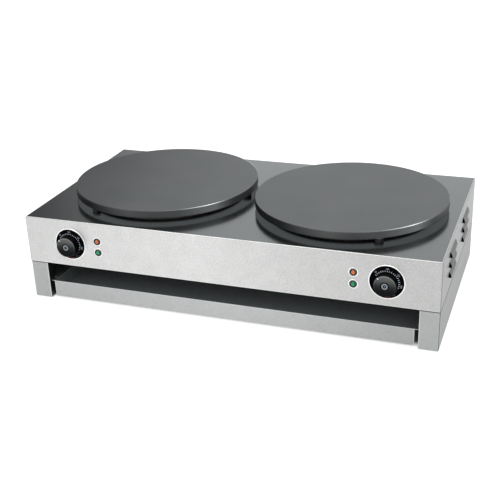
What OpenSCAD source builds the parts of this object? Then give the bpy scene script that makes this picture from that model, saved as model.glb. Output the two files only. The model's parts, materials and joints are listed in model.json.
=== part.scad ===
// Double electric crepe maker, counter-top, with two round griddles and a drip tray.
// Millimetres. +Z is up, +X is to the right of someone facing the controls, -Y is the front.
// The origin is on the counter, under the centre of the overall box.

/* [Griddle plates] */
// Diameter of each cast griddle plate
plate_d = 400; // [360:5:450]
// Height of the plate's rim
plate_h = 15.4; // [14:0.2:20]
// Thickness of the plate's cooking web
plate_web = 8.5; // [7:0.5:9.5]
// Width of the solid rim around the heating recess
plate_rim_w = 25; // [22:1:32]
// Rounding of the plate's top edge
plate_edge_r = 1.5; // [0.5:0.5:3]
// Gap between the two plates
plate_gap = 16; // [8:1:40]
// Air gap between the housing top and the plate rim
plate_lift = 10; // [9:0.5:16]
// How far the standoffs sit inside the plate's edge
standoff_inset = 14; // [12:1:15]

/* [Housing] */
// Margin from a plate to the side of the housing
side_margin = 25; // [20:1:60]
// Margin from the plates to the fascia
front_margin = 29; // [24:1:60]
// Margin from the plates to the back
rear_margin = 26; // [22:1:60]
// Height of the closed upper housing
housing_h = 102; // [96:1:140]
// Height from the bottom of the legs to the seam under the housing
leg_h = 82; // [76:1:130]
// Thickness of the housing sheet
sheet_t = 1.2; // [0.8:0.1:1.5]
// Outer bend radius of the housing's top edges
bend_r = 2.5; // [2:0.1:4]
// Visible gap of the seam between housing and base
seam_gap = 0.6; // [0.3:0.1:1.2]
// Width of the slit where fascia and side sheet meet
corner_slit = 0.5; // [0.3:0.1:1]
// Radius of the bend relief at the top of that slit
relief_r = 1.6; // [1:0.1:2]
// Width of the flange that the rear panel is screwed to
rear_flange = 14; // [12:1:20]
// Height of the floor pan's upturned flanges
pan_flange = 15; // [12:1:20]

/* [Base] */
// Thickness of the base sheet
frame_t = 1.5; // [1:0.1:2]
// Outer bend radius of the base's upright corners
frame_r = 2.4; // [2.1:0.1:4]
// Width of each leg's front face
post_w = 39; // [34:1:60]
// Depth of the lip that each leg's face returns with
post_lip = 20; // [14:1:30]
// Width of the flanges under the housing and over the feet
base_flange = 28; // [26:1:32]
// Diameter of a rubber foot
foot_d = 24; // [18:1:25]
// Height of the rubber under the legs
foot_h = 2; // [1.5:0.5:6]
// Distance of the feet from the front and the back
foot_inset = 40; // [30:1:80]

/* [Ventilation] */
// Length of the straight part of a louvre
louvre_l = 64; // [40:1:70]
// Length of the floor that closes a louvre's front end from below
louvre_lip = 18; // [10:1:30]
// Height of a louvre's hood
louvre_h = 12.5; // [9:0.5:14]
// How far a louvre stands out of the side
louvre_out = 5; // [4:0.5:7]
// Vertical distance between louvres
louvre_pitch = 21; // [18:1:24]
// Number of louvres in a group
louvre_rows = 3; // [1:1:3]
// Distance from the housing top to the first louvre's fold
louvre_drop = 20; // [16:1:28]
// Distance from the fascia to the first louvre group
louvre_start = 93; // [60:1:120]
// Distance between the starts of the two louvre groups
louvre_step = 175; // [130:1:220]
// Length of a slot in the rear panel
rear_slot_l = 60; // [40:1:80]
// Height of a slot in the rear panel
rear_slot_h = 4; // [3:0.5:6]
// Vertical distance between the rear slots
rear_slot_pitch = 11; // [9:1:14]
// Number of slots in each rear group
rear_slot_rows = 5; // [3:1:5]

/* [Drip tray] */
// Gap between the tray front and each leg
tray_side_gap = 8; // [7.5:0.5:12]
// Width of the flange that the tray slides on
tray_flange = 7; // [5:0.5:7]
// Height of the tray
tray_h = 35.5; // [28:0.5:44]
// Gap from the bottom of the legs up to the tray
tray_lift = 2.5; // [2:0.5:6]
// How far the tray front sits behind the legs' faces
tray_setback = 6; // [2:0.5:12]
// Length of the tray from front to back
tray_l = 405; // [340:1:415]
// Thickness of the tray sheet
tray_t = 1.0; // [0.8:0.1:1.5]
// Rounding of the tray's bottom corners
tray_r = 5; // [3:0.5:8]
// Clearance between the tray flange and its runner
slide_clear = 0.3; // [0.2:0.1:0.6]
// Thickness of the runner sheet
runner_t = 1.2; // [1:0.1:1.8]
// Height of the runner's leg on the side wall
runner_leg = 26; // [16:1:32]

/* [Controls] */
// Distance from the side of the housing to a dial's centre
dial_inset = 101; // [80:1:130]
// Distance from the housing top down to a dial's centre
dial_drop = 52; // [46:1:56]
// Diameter of the scale ring behind a knob
bezel_d = 65; // [56:1:72]
// Thickness of the scale ring
bezel_t = 3.6; // [3:0.1:5]
// Diameter of the opening in the scale ring
bezel_hole_d = 36; // [34:1:38]
// Diameter of a knob's front face
knob_d = 42; // [40:1:46]
// Extra diameter of a knob at its back
knob_taper = 3; // [1:0.5:5]
// How far a knob's face stands out of the fascia
knob_reach = 21; // [18:0.5:28]
// Gap between the knob's back and the scale ring
knob_gap = 0.8; // [0.4:0.1:1.5]
// Diameter of the metal insert in a knob
cap_d = 13; // [10:0.5:16]
// Diameter of the thermostat shaft
shaft_d = 6; // [5:0.5:7]
// Radial clearance of the shaft in its bush
shaft_clear = 0.05; // [0.02:0.01:0.09]
// Distance from a dial's centre to its pair of lamps
lamp_offset = 63.5; // [50:0.5:90]
// Height of the upper lamp over the dial's centre
lamp_rise = 12.5; // [11:0.5:18]
// Depth of the lower lamp under the dial's centre
lamp_fall = 12; // [11:0.5:18]
// Diameter of a lamp's rim
lamp_rim_d = 15.6; // [14:0.2:18]
// Diameter of a lamp's lens
lamp_lens_d = 10.6; // [9:0.2:11]
// Wall of a lamp's holder where it passes the fascia
lamp_wall = 1.2; // [0.8:0.1:1.5]

/* [Heating] */
// Width of the flattened heating element
element_w = 9; // [7:0.5:10]
// Height of the flattened heating element
element_h = 7; // [6.8:0.1:7.5]
// Radius of the innermost turn of the element
element_r = 70; // [66:1:72]
// Distance between the turns of the element
element_pitch = 40; // [34:1:41]
// Diameter of the element's cold legs
cold_leg_d = 8; // [6:0.5:9]
// Thickness of the plate that clamps the element
clamp_t = 1.5; // [1:0.1:2]
// Diameter of the thermostat's sensing bulb
bulb_d = 6; // [4:0.5:6]
// Length of the sensing bulb
bulb_l = 70; // [50:1:75]

/* [Supply] */
// Diameter of the cable that the gland takes
cable_d = 10; // [6:0.5:11]
// Outer diameter of the gland's thread
gland_thread_d = 20; // [18:0.5:25]
// How far the gland stands out of the back
gland_reach = 24; // [20:1:32]

/* [Hidden] */

$fn = 96;
eps = 0.01;
fit = 0.3;
weld_gap = 0.03;
mouth_edge = 0.3;

// Overall frame
body_w = 2 * plate_d + plate_gap + 2 * side_margin;
body_d = front_margin + plate_d + rear_margin;
side_x = body_w / 2;
front_y = -(body_d + gland_reach - knob_reach) / 2;
back_y = front_y + body_d;
base_z = foot_h;
seam_z = base_z + leg_h;
top_z = seam_z + housing_h;
roof_z = top_z - sheet_t;
cover_z = seam_z + seam_gap;
pan_top = seam_z + sheet_t;

// Griddle plates and what is clamped under them
plate_x = (plate_d + plate_gap) / 2;
plate_y = front_y + front_margin + plate_d / 2;
rim_z = top_z + plate_lift;
cook_z = rim_z + plate_h;
web_z = cook_z - plate_web;
clamp_top = web_z - element_h;
clamp_z = clamp_top - clamp_t;
recess_r = plate_d / 2 - plate_rim_w;
disc_margin = 10;
clamp_r = recess_r - disc_margin;
pad_r = clamp_r - disc_margin / 2;
standoff_flats = 17;
standoff_r = plate_d / 2 - standoff_inset;
standoff_angles = [-60, 60, 180];
m6 = 6;
m6_head_d = 10;
m6_head_h = 4;
m6_depth = 9;
m8 = 8;
m8_flats = 13;
m8_nut_h = 5;
m8_depth = 5;
stud_over = 0.5;
nut_well_d = 26;

// Heating element: three turns, joined by two bars, with a cold leg at each end
turn_r = [element_r, element_r + element_pitch, element_r + 2 * element_pitch];
turn_open = 10;
outer_leg = [turn_r[2] * cos(90 + turn_open), turn_r[2] * sin(90 + turn_open)];
inner_leg = [turn_r[0] * cos(90 - turn_open), turn_r[0] * sin(90 - turn_open)];
bush_wall = 3;
bush_d = cold_leg_d + 2 * bush_wall;
bush_over = 6;
leg_drop = 20;
pin_d = 4;
pin_l = 14;
pin_z = top_z - leg_drop - pin_l;

// Thermostat, dial and lamps
dial_x = side_x - dial_inset;
dial_z = top_z - dial_drop;
lamp_x = dial_x - lamp_offset;
amber_z = dial_z + lamp_rise;
green_z = dial_z - lamp_fall;
inside_y = front_y + sheet_t;
knob_back = bezel_t + knob_gap;
knob_edge_r = 1.2;
cap_ring_w = 2.5;
cap_well_d = cap_d + 2 * cap_ring_w;
cap_well = 2;
cap_sink = 0.4;
cap_dish = 0.8;
cap_dish_d = 6;
knob_bore = 10;
shaft_flat = 0.25;
pointer_angle = -47;
groove = [2.2, 1.2, 5];
bush_bore = 12;
shaft_hole_d = 11;
thermo_w = 36;
thermo_l = 30;
thermo_h = 40;
m4 = 4;
m4_head_d = 7;
m4_head_h = 2.2;
thermo_screw_x = 13;
thermo_screw_l = 8;
peg_d = 3.5;
peg_l = 5;
peg_r = (bezel_d + bezel_hole_d) / 4;
blade = [6, 8, 0.8];
blade_x = 10;
blade_z = 8;
blade_end = inside_y + thermo_l + blade[1];
bulb_y = plate_y - (turn_r[0] + turn_r[1]) / 2;
bulb_z = clamp_top + fit + bulb_d / 2;
tail_run = 7;
tail_x = bulb_l / 2 + tail_run;
tail_d = 1.6;
tail_hole_d = 6;
tail_drop = 14;
tail_z = roof_z - tail_drop;
holder_d = lamp_lens_d + 2 * lamp_wall;
holder_l = 8;
rim_t = 2.2;
lens_rise = 1.4;
lamp_body_l = 16;
lamp_blade = [3, 6, 0.8];
lamp_back = front_y + holder_l + lamp_body_l;
lamp_nut_h = 3.5;
lamp_nut_wall = 1.8;

// Tray and runners
tray_x = side_x - post_w - tray_side_gap;
flange_x = tray_x + tray_flange;
tray_y = front_y + tray_setback;
tray_z = base_z + tray_lift;
tray_top = tray_z + tray_h;
shelf_top = tray_top - tray_t - slide_clear;
shelf_z = shelf_top - runner_t;
keeper_gap = 0.8;
keeper_x = flange_x + keeper_gap;
keeper_lip = 6;
lip_clear = 1;
runner_y = front_y + post_lip + lip_clear;
runner_l = body_d - 2 * (post_lip + lip_clear);
wall_x = side_x - frame_t;
shelf_edge_gap = 1;

// Supply
block = [80, 22, 16];
block_inset = 60;
block_y = back_y - block_inset;
block_top = pan_top + block[2];
gland_z = (pan_top + roof_z) / 2;
gland_wall = 2.5;
gland_flats = gland_thread_d + 2 * gland_wall;
gland_hex_h = 8;
gland_in = 10;
gland_thread_out = 6;
gland_dome_r = 5;
locknut_h = 4;
earth_x = 110;
earth_l = 16;
m5 = 5;
m5_flats = 8;
m5_nut_h = 4;
wire_r = 1.3;
wire_step = 10;
wire_turn = 14;
wire_posts = [12, 22, 30];
post_screw_y = 7;
post_screw_l = 4;
post_head_d = 5.5;
post_head_h = 1.2;

// Screws of the base and the rear panel
base_screw_inset = 60;
base_screw_y = [base_screw_inset, body_d / 2, body_d - base_screw_inset];
base_screw_l = 8;
rear_screw_shift = 1;
rear_screw_z = [
    seam_z + pan_flange / 2 + rear_screw_shift,
    top_z - rear_flange / 2 - rear_screw_shift
];
rear_screw_x = side_x - sheet_t - rear_flange / 2;
rear_low_x = side_x - sheet_t - 2 * rear_flange;
rear_screw_l = 7;
flange_end_gap = 2;
flange_side_gap = 1;

// ---- Helpers ----

// Draws its children for the right side, or mirrored for the left one.
module on_side(right) {
    mirror([right ? 0 : 1, 0, 0]) children();
}

module both_sides() {
    on_side(true) children();
    on_side(false) children();
}

// Rounded rectangle from true arcs, lower left corner at the origin.
module round_rect(w, h, r) {
    translate([r, 0]) square([w - 2 * r, h]);
    translate([0, r]) square([w, h - 2 * r]);
    for (x = [r, w - r], y = [r, h - r]) translate([x, y]) circle(r);
}

// Rectangle centred on the origin with half-round ends, lying along x.
module slot_2d(l, h) {
    square([l - h, h], center = true);
    for (x = [-1, 1]) translate([x * (l - h) / 2, 0]) circle(h / 2);
}

// Half section of a turned bar, from the axis out to r, with its far edge rounded.
module domed_section(r, h, edge) {
    square([r, h - edge]);
    square([r - edge, h]);
    translate([r - edge, h - edge]) circle(edge);
}

// Box from a low corner to a high corner.
module block_between(low, high) {
    translate(low) cube(high - low);
}

// Cylinder along +Y from a point.
module rod_y(at, d, l) {
    translate(at) rotate([-90, 0, 0]) cylinder(d = d, h = l);
}

// Hexagonal bar, size across flats, from z = 0.
module hex_bar(flats, h) {
    cylinder(d = flats / cos(30), h = h, $fn = 6);
}

// Round wire or tube through a list of points, with ball joints at its bends.
module wire(points, r) {
    last = len(points) - 1;
    for (i = [0 : last - 1]) rod_between(points[i], points[i + 1], r);
    for (i = [1 : 1 : last - 1]) translate(points[i]) sphere(r, $fn = 24);
}

// Cylinder between two points.
module rod_between(a, b, r) {
    v = b - a;
    translate(a) rotate([0, acos(v[2] / norm(v)), atan2(v[1], v[0])])
        cylinder(r = r, h = norm(v), $fn = 24);
}

// ---- Housing ----

// Body of the cover, shrunk by inset, open below and behind when it is a cavity.
module cover_shape(inset, open) {
    r = bend_r - inset;
    w = body_w - 2 * inset;
    low = open ? cover_z - housing_h : cover_z;
    high = top_z - inset;
    near = front_y + inset;
    far = open ? back_y + bend_r : back_y;
    intersection() {
        translate([-w / 2, far + bend_r, low]) rotate([90, 0, 0])
            linear_extrude(far - near + 2 * bend_r) bent_top(w, high - low, r, true);
        translate([-body_w, near, low]) rotate([90, 0, 90])
            linear_extrude(2 * body_w) bent_top(far - near, high - low, r, false);
    }
}

// Upright rectangle whose top corners are bent with radius r, on one or both sides.
module bent_top(w, h, r, both) {
    square([w, h - r]);
    translate([r, 0]) square([both ? w - 2 * r : w - r, h]);
    translate([r, h - r]) circle(r);
    if (both) translate([w - r, h - r]) circle(r);
}

// Cross-section of a louvre: x is up from its open edge, y is out of the side.
louvre_r = (pow(louvre_h, 2) + pow(louvre_out, 2)) / (2 * louvre_out);
louvre_deep = louvre_r - louvre_out;
slot_h = sqrt(pow(louvre_r - sheet_t, 2) - pow(louvre_deep, 2)) - mouth_edge;
mouth_r = slot_h / 2 - sheet_t;

module louvre_section() {
    intersection() {
        translate([0, -louvre_deep]) difference() {
            circle(louvre_r);
            circle(louvre_r - sheet_t);
        }
        square(louvre_r);
    }
}

// Cross-section of the floor at a louvre's front end, from the side sheet to the hood.
module louvre_floor_section() {
    intersection() {
        translate([0, -louvre_deep]) circle(louvre_r - sheet_t / 2);
        translate([mouth_edge, -sheet_t / 2]) square([sheet_t - mouth_edge, louvre_r]);
    }
}

// Hood of one louvre. Local x runs to the back, y is up, z is out of the side.
module louvre_hood() {
    rotate([90, 0, 90]) linear_extrude(louvre_l) louvre_section();
    translate([mouth_edge, 0, 0]) rotate([90, 0, 90])
        linear_extrude(louvre_lip - mouth_edge) louvre_floor_section();
    translate([louvre_l, 0, 0]) rotate_extrude(angle = 90) louvre_section();
}

// Opening in the side sheet behind a louvre's hood. Its front part lies between the
// floor and the hood, and is round where it shows in front of the hood.
module louvre_opening() {
    lip_end = louvre_lip + mouth_edge;
    translate([0, 0, -2 * sheet_t]) linear_extrude(2 * sheet_t + eps) {
        translate([-mouth_edge, sheet_t + mouth_edge + mouth_r]) {
            circle(mouth_r);
            translate([0, -mouth_r]) square([lip_end + 2 * mouth_edge, 2 * mouth_r]);
        }
        translate([lip_end, 0]) square([louvre_l - lip_end, slot_h]);
        intersection() {
            translate([louvre_l, 0]) circle(slot_h);
            translate([louvre_l, 0]) square(slot_h);
        }
    }
}

// Places its children at each louvre of the right side.
module each_louvre() {
    for (group = [0, 1], row = [0 : louvre_rows - 1])
        translate([
            side_x,
            front_y + louvre_start + group * louvre_step,
            top_z - louvre_drop - louvre_h - row * louvre_pitch
        ]) rotate([90, 0, 90]) children();
}

// Holes in the fascia for one dial and its two lamps.
module dial_holes() {
    drill = 4 * sheet_t;
    start = front_y - sheet_t;
    rod_y([dial_x, start, dial_z], shaft_hole_d, drill);
    for (s = [-1, 1]) {
        rod_y([dial_x + s * thermo_screw_x, start, dial_z], m4, drill);
        rod_y([dial_x, start, dial_z + s * peg_r], peg_d, drill);
    }
    for (z = [amber_z, green_z]) rod_y([lamp_x, start, z], holder_d, drill);
}

// Holes in the roof for one plate's standoffs, cold legs and sensing tube.
module roof_holes() {
    translate([plate_x, plate_y, roof_z - sheet_t]) {
        for (a = standoff_angles)
            rotate(a) translate([standoff_r, 0, 0]) cylinder(d = m6, h = 3 * sheet_t);
        for (leg = [outer_leg, inner_leg])
            translate(leg) cylinder(d = bush_d, h = 3 * sheet_t);
        translate([tail_x, bulb_y - plate_y, 0]) cylinder(d = tail_hole_d, h = 3 * sheet_t);
    }
}

// Slit and bend relief where the fascia meets the side sheet.
module corner_seam() {
    slit_y = front_y + sheet_t + relief_r;
    slit_top = top_z - bend_r - relief_r;
    block_between(
        [side_x - 2 * sheet_t, slit_y - corner_slit / 2, seam_z],
        [side_x + eps, slit_y + corner_slit / 2, slit_top]
    );
    translate([side_x - 2 * sheet_t, slit_y, slit_top]) rotate([0, 90, 0])
        cylinder(r = relief_r / 2, h = 3 * sheet_t);
}

module housing_cover() {
    flange_y = back_y - 2 * sheet_t;
    color([0.80, 0.81, 0.80]) difference() {
        union() {
            difference() {
                cover_shape(0, false);
                cover_shape(sheet_t, true);
                both_sides() each_louvre() louvre_opening();
            }
            // Flange behind the roof and the sides for the rear panel.
            difference() {
                block_between(
                    [-side_x + sheet_t, flange_y, seam_z + pan_flange + flange_end_gap],
                    [side_x - sheet_t, flange_y + sheet_t, roof_z]
                );
                block_between(
                    [-side_x + sheet_t + rear_flange, flange_y - 1, seam_z],
                    [side_x - sheet_t - rear_flange, back_y, roof_z - rear_flange]
                );
            }
            both_sides() each_louvre() louvre_hood();
        }
        both_sides() {
            dial_holes();
            roof_holes();
            corner_seam();
            rear_screw_hole(rear_screw_x, rear_screw_z[1]);
        }
    }
}

// Clearance of one rear screw through panel and flange.
module rear_screw_hole(x, z) {
    rod_y([x, back_y - 5 * sheet_t, z], m4, 7 * sheet_t);
}

module rear_panel() {
    half_w = side_x - sheet_t - fit;
    color([0.74, 0.75, 0.75]) difference() {
        block_between([-half_w, back_y - sheet_t, cover_z], [half_w, back_y, roof_z - fit]);
        both_sides() {
            rear_screw_hole(rear_screw_x, rear_screw_z[1]);
            rear_screw_hole(rear_low_x, rear_screw_z[0]);
            for (row = [0 : rear_slot_rows - 1]) {
                lift = (row - (rear_slot_rows - 1) / 2) * rear_slot_pitch;
                translate([plate_x, back_y + sheet_t, gland_z + lift]) rotate([90, 0, 0])
                    linear_extrude(4 * sheet_t) slot_2d(rear_slot_l, rear_slot_h);
            }
        }
        rod_y([0, back_y - 2 * sheet_t, gland_z], gland_thread_d, 4 * sheet_t);
    }
}

// The pan closes the housing from below, welded to the cover by its upturned flanges.
module floor_pan() {
    half_w = side_x - sheet_t - weld_gap;
    near = inside_y + weld_gap;
    far = back_y - sheet_t;
    wall_top = seam_z + pan_flange;
    back_half = side_x - sheet_t - rear_flange - flange_side_gap;
    rear_clear = far - sheet_t - fit;
    color([0.66, 0.67, 0.68]) difference() {
        union() {
            block_between([-half_w, near, seam_z], [half_w, rear_clear, pan_top]);
            block_between([-back_half, near, seam_z], [back_half, far, pan_top]);
            block_between([-back_half, far - sheet_t, seam_z], [back_half, far, wall_top]);
            both_sides() block_between(
                [half_w - sheet_t, near, seam_z],
                [half_w, rear_clear, wall_top]
            );
        }
        both_sides() {
            for (y = base_screw_y) translate([base_screw_x, front_y + y, seam_z - 1])
                cylinder(d = m4, h = 3 * sheet_t);
            rear_screw_hole(rear_low_x, rear_screw_z[0]);
        }
        translate([earth_x, block_y, seam_z - 1]) cylinder(d = m5, h = 3 * sheet_t);
    }
}

// Strip that stands along the pan's front edge and is welded to the fascia's inner side.
module pan_front_strip() {
    half_l = side_x - 2 * (sheet_t + weld_gap);
    near = inside_y + weld_gap;
    color([0.66, 0.67, 0.68]) block_between(
        [-half_l, near, pan_top + weld_gap],
        [half_l, near + sheet_t, seam_z + pan_flange]
    );
}

// ---- Base ----

base_screw_x = side_x - base_flange / 2 - frame_t;

// Plan outline of one side frame: a long wall, with a leg face and a lip at each end.
module side_frame_plan() {
    inner_w = post_w - 2 * frame_t;
    inner_d = body_d - 2 * frame_t;
    translate([side_x - post_w, front_y]) difference() {
        round_rect(post_w, body_d, frame_r);
        translate([frame_t, frame_t]) round_rect(inner_w, inner_d, frame_r - frame_t);
        translate([-1, post_lip]) square([frame_t + 2, body_d - 2 * post_lip]);
    }
}

module side_frame() {
    near = front_y + frame_t;
    far = back_y - frame_t;
    flange_z = seam_z - frame_t;
    difference() {
        union() {
            translate([0, 0, base_z]) linear_extrude(leg_h) side_frame_plan();
            for (z = [base_z, flange_z])
                block_between([side_x - base_flange, near, z], [wall_x + eps, far, z + frame_t]);
        }
        for (y = base_screw_y) translate([base_screw_x, front_y + y, flange_z - 1])
            cylinder(d = m4, h = frame_t + 2);
        for (y = [front_y + foot_inset, back_y - foot_inset])
            translate([foot_x, y, base_z - 1]) cylinder(d = foot_stem_d, h = frame_t + 2);
    }
}

module left_side_frame() {
    color([0.70, 0.71, 0.71]) on_side(false) side_frame();
}

module right_side_frame() {
    color([0.70, 0.71, 0.71]) on_side(true) side_frame();
}

// The skirt closes the base behind, between the two rear legs.
module rear_skirt() {
    half_w = side_x - post_w;
    near = back_y - post_lip + skirt_clear;
    color([0.68, 0.69, 0.69]) {
        block_between([-half_w, back_y - frame_t, base_z], [half_w, back_y, seam_z]);
        block_between([-half_w, near, seam_z - frame_t], [half_w, back_y, seam_z]);
        both_sides() block_between(
            [half_w - frame_t, near, base_z],
            [half_w, back_y, seam_z]
        );
    }
}

skirt_clear = 2;
foot_wall_gap = 1;
foot_draft = 2;
foot_x = side_x - frame_t - foot_d / 2 - foot_wall_gap;
foot_stem_d = 8;
foot_head_d = 12;
foot_head_h = 3;

// Push-in rubber feet, with a stem through the flange and a head above it.
module foot_pads() {
    color([0.10, 0.10, 0.11]) both_sides()
        for (y = [front_y + foot_inset, back_y - foot_inset]) translate([foot_x, y, 0]) {
            cylinder(d1 = foot_d - foot_draft, d2 = foot_d, h = foot_h);
            cylinder(d = foot_stem_d, h = base_z + frame_t + foot_head_h);
            translate([0, 0, base_z + frame_t]) cylinder(d = foot_head_d, h = foot_head_h);
        }
}

// Cross-section of a runner: x is across the machine and y is up.
module runner_section() {
    translate([tray_x + shelf_edge_gap, shelf_z])
        square([wall_x - tray_x - shelf_edge_gap, runner_t]);
    translate([wall_x - runner_t, shelf_z]) square([runner_t, runner_leg]);
    lip_z = tray_top + slide_clear;
    translate([keeper_x, shelf_z]) square([runner_t, lip_z + runner_t - shelf_z]);
    translate([keeper_x + runner_t - keeper_lip, lip_z]) square([keeper_lip, runner_t]);
}

module tray_runner() {
    translate([0, runner_y + runner_l, 0]) rotate([90, 0, 0])
        linear_extrude(runner_l) runner_section();
}

module left_tray_runner() {
    color([0.62, 0.63, 0.64]) on_side(false) tray_runner();
}

module right_tray_runner() {
    color([0.62, 0.63, 0.64]) on_side(true) tray_runner();
}

// Pan of the tray with its bottom corners rounded, shrunk by inset.
module tray_section(inset) {
    w = 2 * (tray_x - inset);
    r = tray_r - inset;
    translate([-w / 2, tray_z + inset]) {
        translate([r, 0]) square([w - 2 * r, 2 * r]);
        translate([0, r]) square([w, tray_h]);
        for (x = [r, w - r]) translate([x, r]) circle(r);
    }
}

module drip_tray() {
    color([0.70, 0.71, 0.71]) intersection() {
        union() {
            difference() {
                translate([0, tray_y + tray_l, 0]) rotate([90, 0, 0])
                    linear_extrude(tray_l) tray_section(0);
                translate([0, tray_y + tray_l - tray_t, 0]) rotate([90, 0, 0])
                    linear_extrude(tray_l - 2 * tray_t) tray_section(tray_t);
            }
            both_sides() block_between(
                [tray_x - tray_t, tray_y, tray_top - tray_t],
                [flange_x, tray_y + tray_l, tray_top]
            );
        }
        block_between([-body_w, tray_y, tray_z], [body_w, tray_y + tray_l, tray_top]);
    }
}

// ---- Griddle plates ----

module griddle_plate() {
    translate([plate_x, plate_y, 0]) difference() {
        translate([0, 0, rim_z]) rotate_extrude()
            domed_section(plate_d / 2, plate_h, plate_edge_r);
        translate([0, 0, rim_z - 1]) cylinder(r = recess_r, h = web_z - rim_z + 1);
        for (a = standoff_angles) rotate(a) translate([standoff_r, 0, rim_z - 1])
            cylinder(d = m6, h = m6_depth + 1);
        translate([0, 0, web_z - 1]) cylinder(d = m8, h = m8_depth + 1);
    }
}

module left_griddle_plate() {
    color([0.30, 0.31, 0.32]) on_side(false) griddle_plate();
}

module right_griddle_plate() {
    color([0.30, 0.31, 0.32]) on_side(true) griddle_plate();
}

// Bar of the element between two neighbouring turns, at the angle a.
module element_bar(a, inner) {
    rotate(a) translate([inner, -element_w / 2, 0]) cube([element_pitch, element_w, element_h]);
}

module heating_element() {
    sweep = 360 - 2 * turn_open;
    translate([plate_x, plate_y, clamp_top]) {
        for (r = turn_r) rotate(90 + turn_open) rotate_extrude(angle = sweep)
            translate([r - element_w / 2, 0]) square([element_w, element_h]);
        element_bar(90 - turn_open, turn_r[1]);
        element_bar(90 + turn_open, turn_r[0]);
        for (leg = [outer_leg, inner_leg]) translate(leg) {
            translate([0, 0, top_z - leg_drop - clamp_top])
                cylinder(d = cold_leg_d, h = clamp_top + element_h - top_z + leg_drop);
            translate([0, 0, pin_z - clamp_top]) cylinder(d = pin_d, h = pin_l + 1);
        }
    }
}

module left_heating_element() {
    color([0.45, 0.42, 0.38]) on_side(false) heating_element();
}

module right_heating_element() {
    color([0.45, 0.42, 0.38]) on_side(true) heating_element();
}

// Disc under a plate, with openings for the cold legs, the centre and the sensing tube.
module plate_disc(r, low, high, leg_hole_d, centre_hole_d) {
    tall = high - low;
    translate([plate_x, plate_y, low]) difference() {
        cylinder(r = r, h = tall);
        for (leg = [outer_leg, inner_leg])
            translate([leg[0], leg[1], -1]) cylinder(d = leg_hole_d, h = tall + 2);
        translate([0, 0, -1]) cylinder(d = centre_hole_d, h = tall + 2);
        translate([tail_x, bulb_y - plate_y, -1]) cylinder(d = tail_hole_d, h = tall + 2);
    }
}

module left_clamp_plate() {
    color([0.60, 0.60, 0.60]) on_side(false)
        plate_disc(clamp_r, clamp_z, clamp_top, cold_leg_d + fit, m8);
}

module right_clamp_plate() {
    color([0.60, 0.60, 0.60]) on_side(true)
        plate_disc(clamp_r, clamp_z, clamp_top, cold_leg_d + fit, m8);
}

module left_insulation_disc() {
    color([0.90, 0.88, 0.82]) on_side(false)
        plate_disc(pad_r, top_z, clamp_z, bush_d, nut_well_d);
}

module right_insulation_disc() {
    color([0.90, 0.88, 0.82]) on_side(true)
        plate_disc(pad_r, top_z, clamp_z, bush_d, nut_well_d);
}

// Places its children at the three standoffs of the right plate, turned outwards.
module each_standoff() {
    translate([plate_x, plate_y, 0]) for (a = standoff_angles)
        rotate(a) translate([standoff_r, 0, 0]) children();
}

module plate_standoffs() {
    each_standoff() translate([0, 0, top_z]) difference() {
        hex_bar(standoff_flats, plate_lift);
        translate([0, 0, -1]) cylinder(d = m6, h = plate_lift + 2);
    }
}

module left_plate_standoffs() {
    color([0.75, 0.75, 0.75]) on_side(false) plate_standoffs();
}

module right_plate_standoffs() {
    color([0.75, 0.75, 0.75]) on_side(true) plate_standoffs();
}

module standoff_screws() {
    each_standoff() {
        translate([0, 0, roof_z - m6_head_h]) hex_bar(m6_head_d, m6_head_h);
        translate([0, 0, roof_z - 1]) cylinder(d = m6, h = rim_z + m6_depth - roof_z + 1);
    }
}

module left_standoff_screws() {
    color([0.72, 0.72, 0.72]) on_side(false) standoff_screws();
}

module right_standoff_screws() {
    color([0.72, 0.72, 0.72]) on_side(true) standoff_screws();
}

// Studs in the middle of the plates that hold the clamp plates up.
module clamp_studs() {
    low = clamp_z - m8_nut_h - stud_over;
    color([0.72, 0.72, 0.72]) both_sides() translate([plate_x, plate_y, low])
        cylinder(d = m8, h = web_z + m8_depth - low);
}

module clamp_nuts() {
    color([0.78, 0.78, 0.75]) both_sides() translate([plate_x, plate_y, clamp_z - m8_nut_h])
        difference() {
            hex_bar(m8_flats, m8_nut_h);
            translate([0, 0, -1]) cylinder(d = m8, h = m8_nut_h + 2);
        }
}

// Ceramic tubes that guide the cold legs through the roof.
module terminal_bushes() {
    low = roof_z - bush_over;
    tall = clamp_z - low;
    color([0.93, 0.92, 0.88]) both_sides() translate([plate_x, plate_y, low])
        for (leg = [outer_leg, inner_leg]) translate(leg) difference() {
            cylinder(d = bush_d, h = tall);
            translate([0, 0, -1]) cylinder(d = cold_leg_d, h = tall + 2);
        }
}

// ---- Thermostats, knobs and dials ----

module thermostat_body() {
    difference() {
        union() {
            translate([dial_x - thermo_w / 2, inside_y, dial_z - thermo_h / 2])
                cube([thermo_w, thermo_l, thermo_h]);
            for (sx = [-1, 1], sz = [-1, 1])
                translate([
                    dial_x + sx * blade_x - blade[0] / 2,
                    inside_y + thermo_l - eps,
                    dial_z + sz * blade_z - blade[2] / 2
                ]) cube([blade[0], blade[1] + eps, blade[2]]);
        }
        rod_y([dial_x, inside_y - 1, dial_z], shaft_d + 2 * shaft_clear, bush_bore + 1);
        for (s = [-1, 1])
            rod_y([dial_x + s * thermo_screw_x, inside_y - 1, dial_z], m4, thermo_screw_l + 1);
    }
}

module left_thermostat_body() {
    color([0.85, 0.82, 0.72]) on_side(false) thermostat_body();
}

module right_thermostat_body() {
    color([0.85, 0.82, 0.72]) on_side(true) thermostat_body();
}

// Flat side that the shaft and the knob's bore share, as a bar to keep.
module shaft_keep(from_y, to_y) {
    block_between(
        [dial_x - shaft_d, from_y, dial_z - shaft_d],
        [dial_x + shaft_d, to_y, dial_z + shaft_d * shaft_flat]
    );
}

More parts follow.
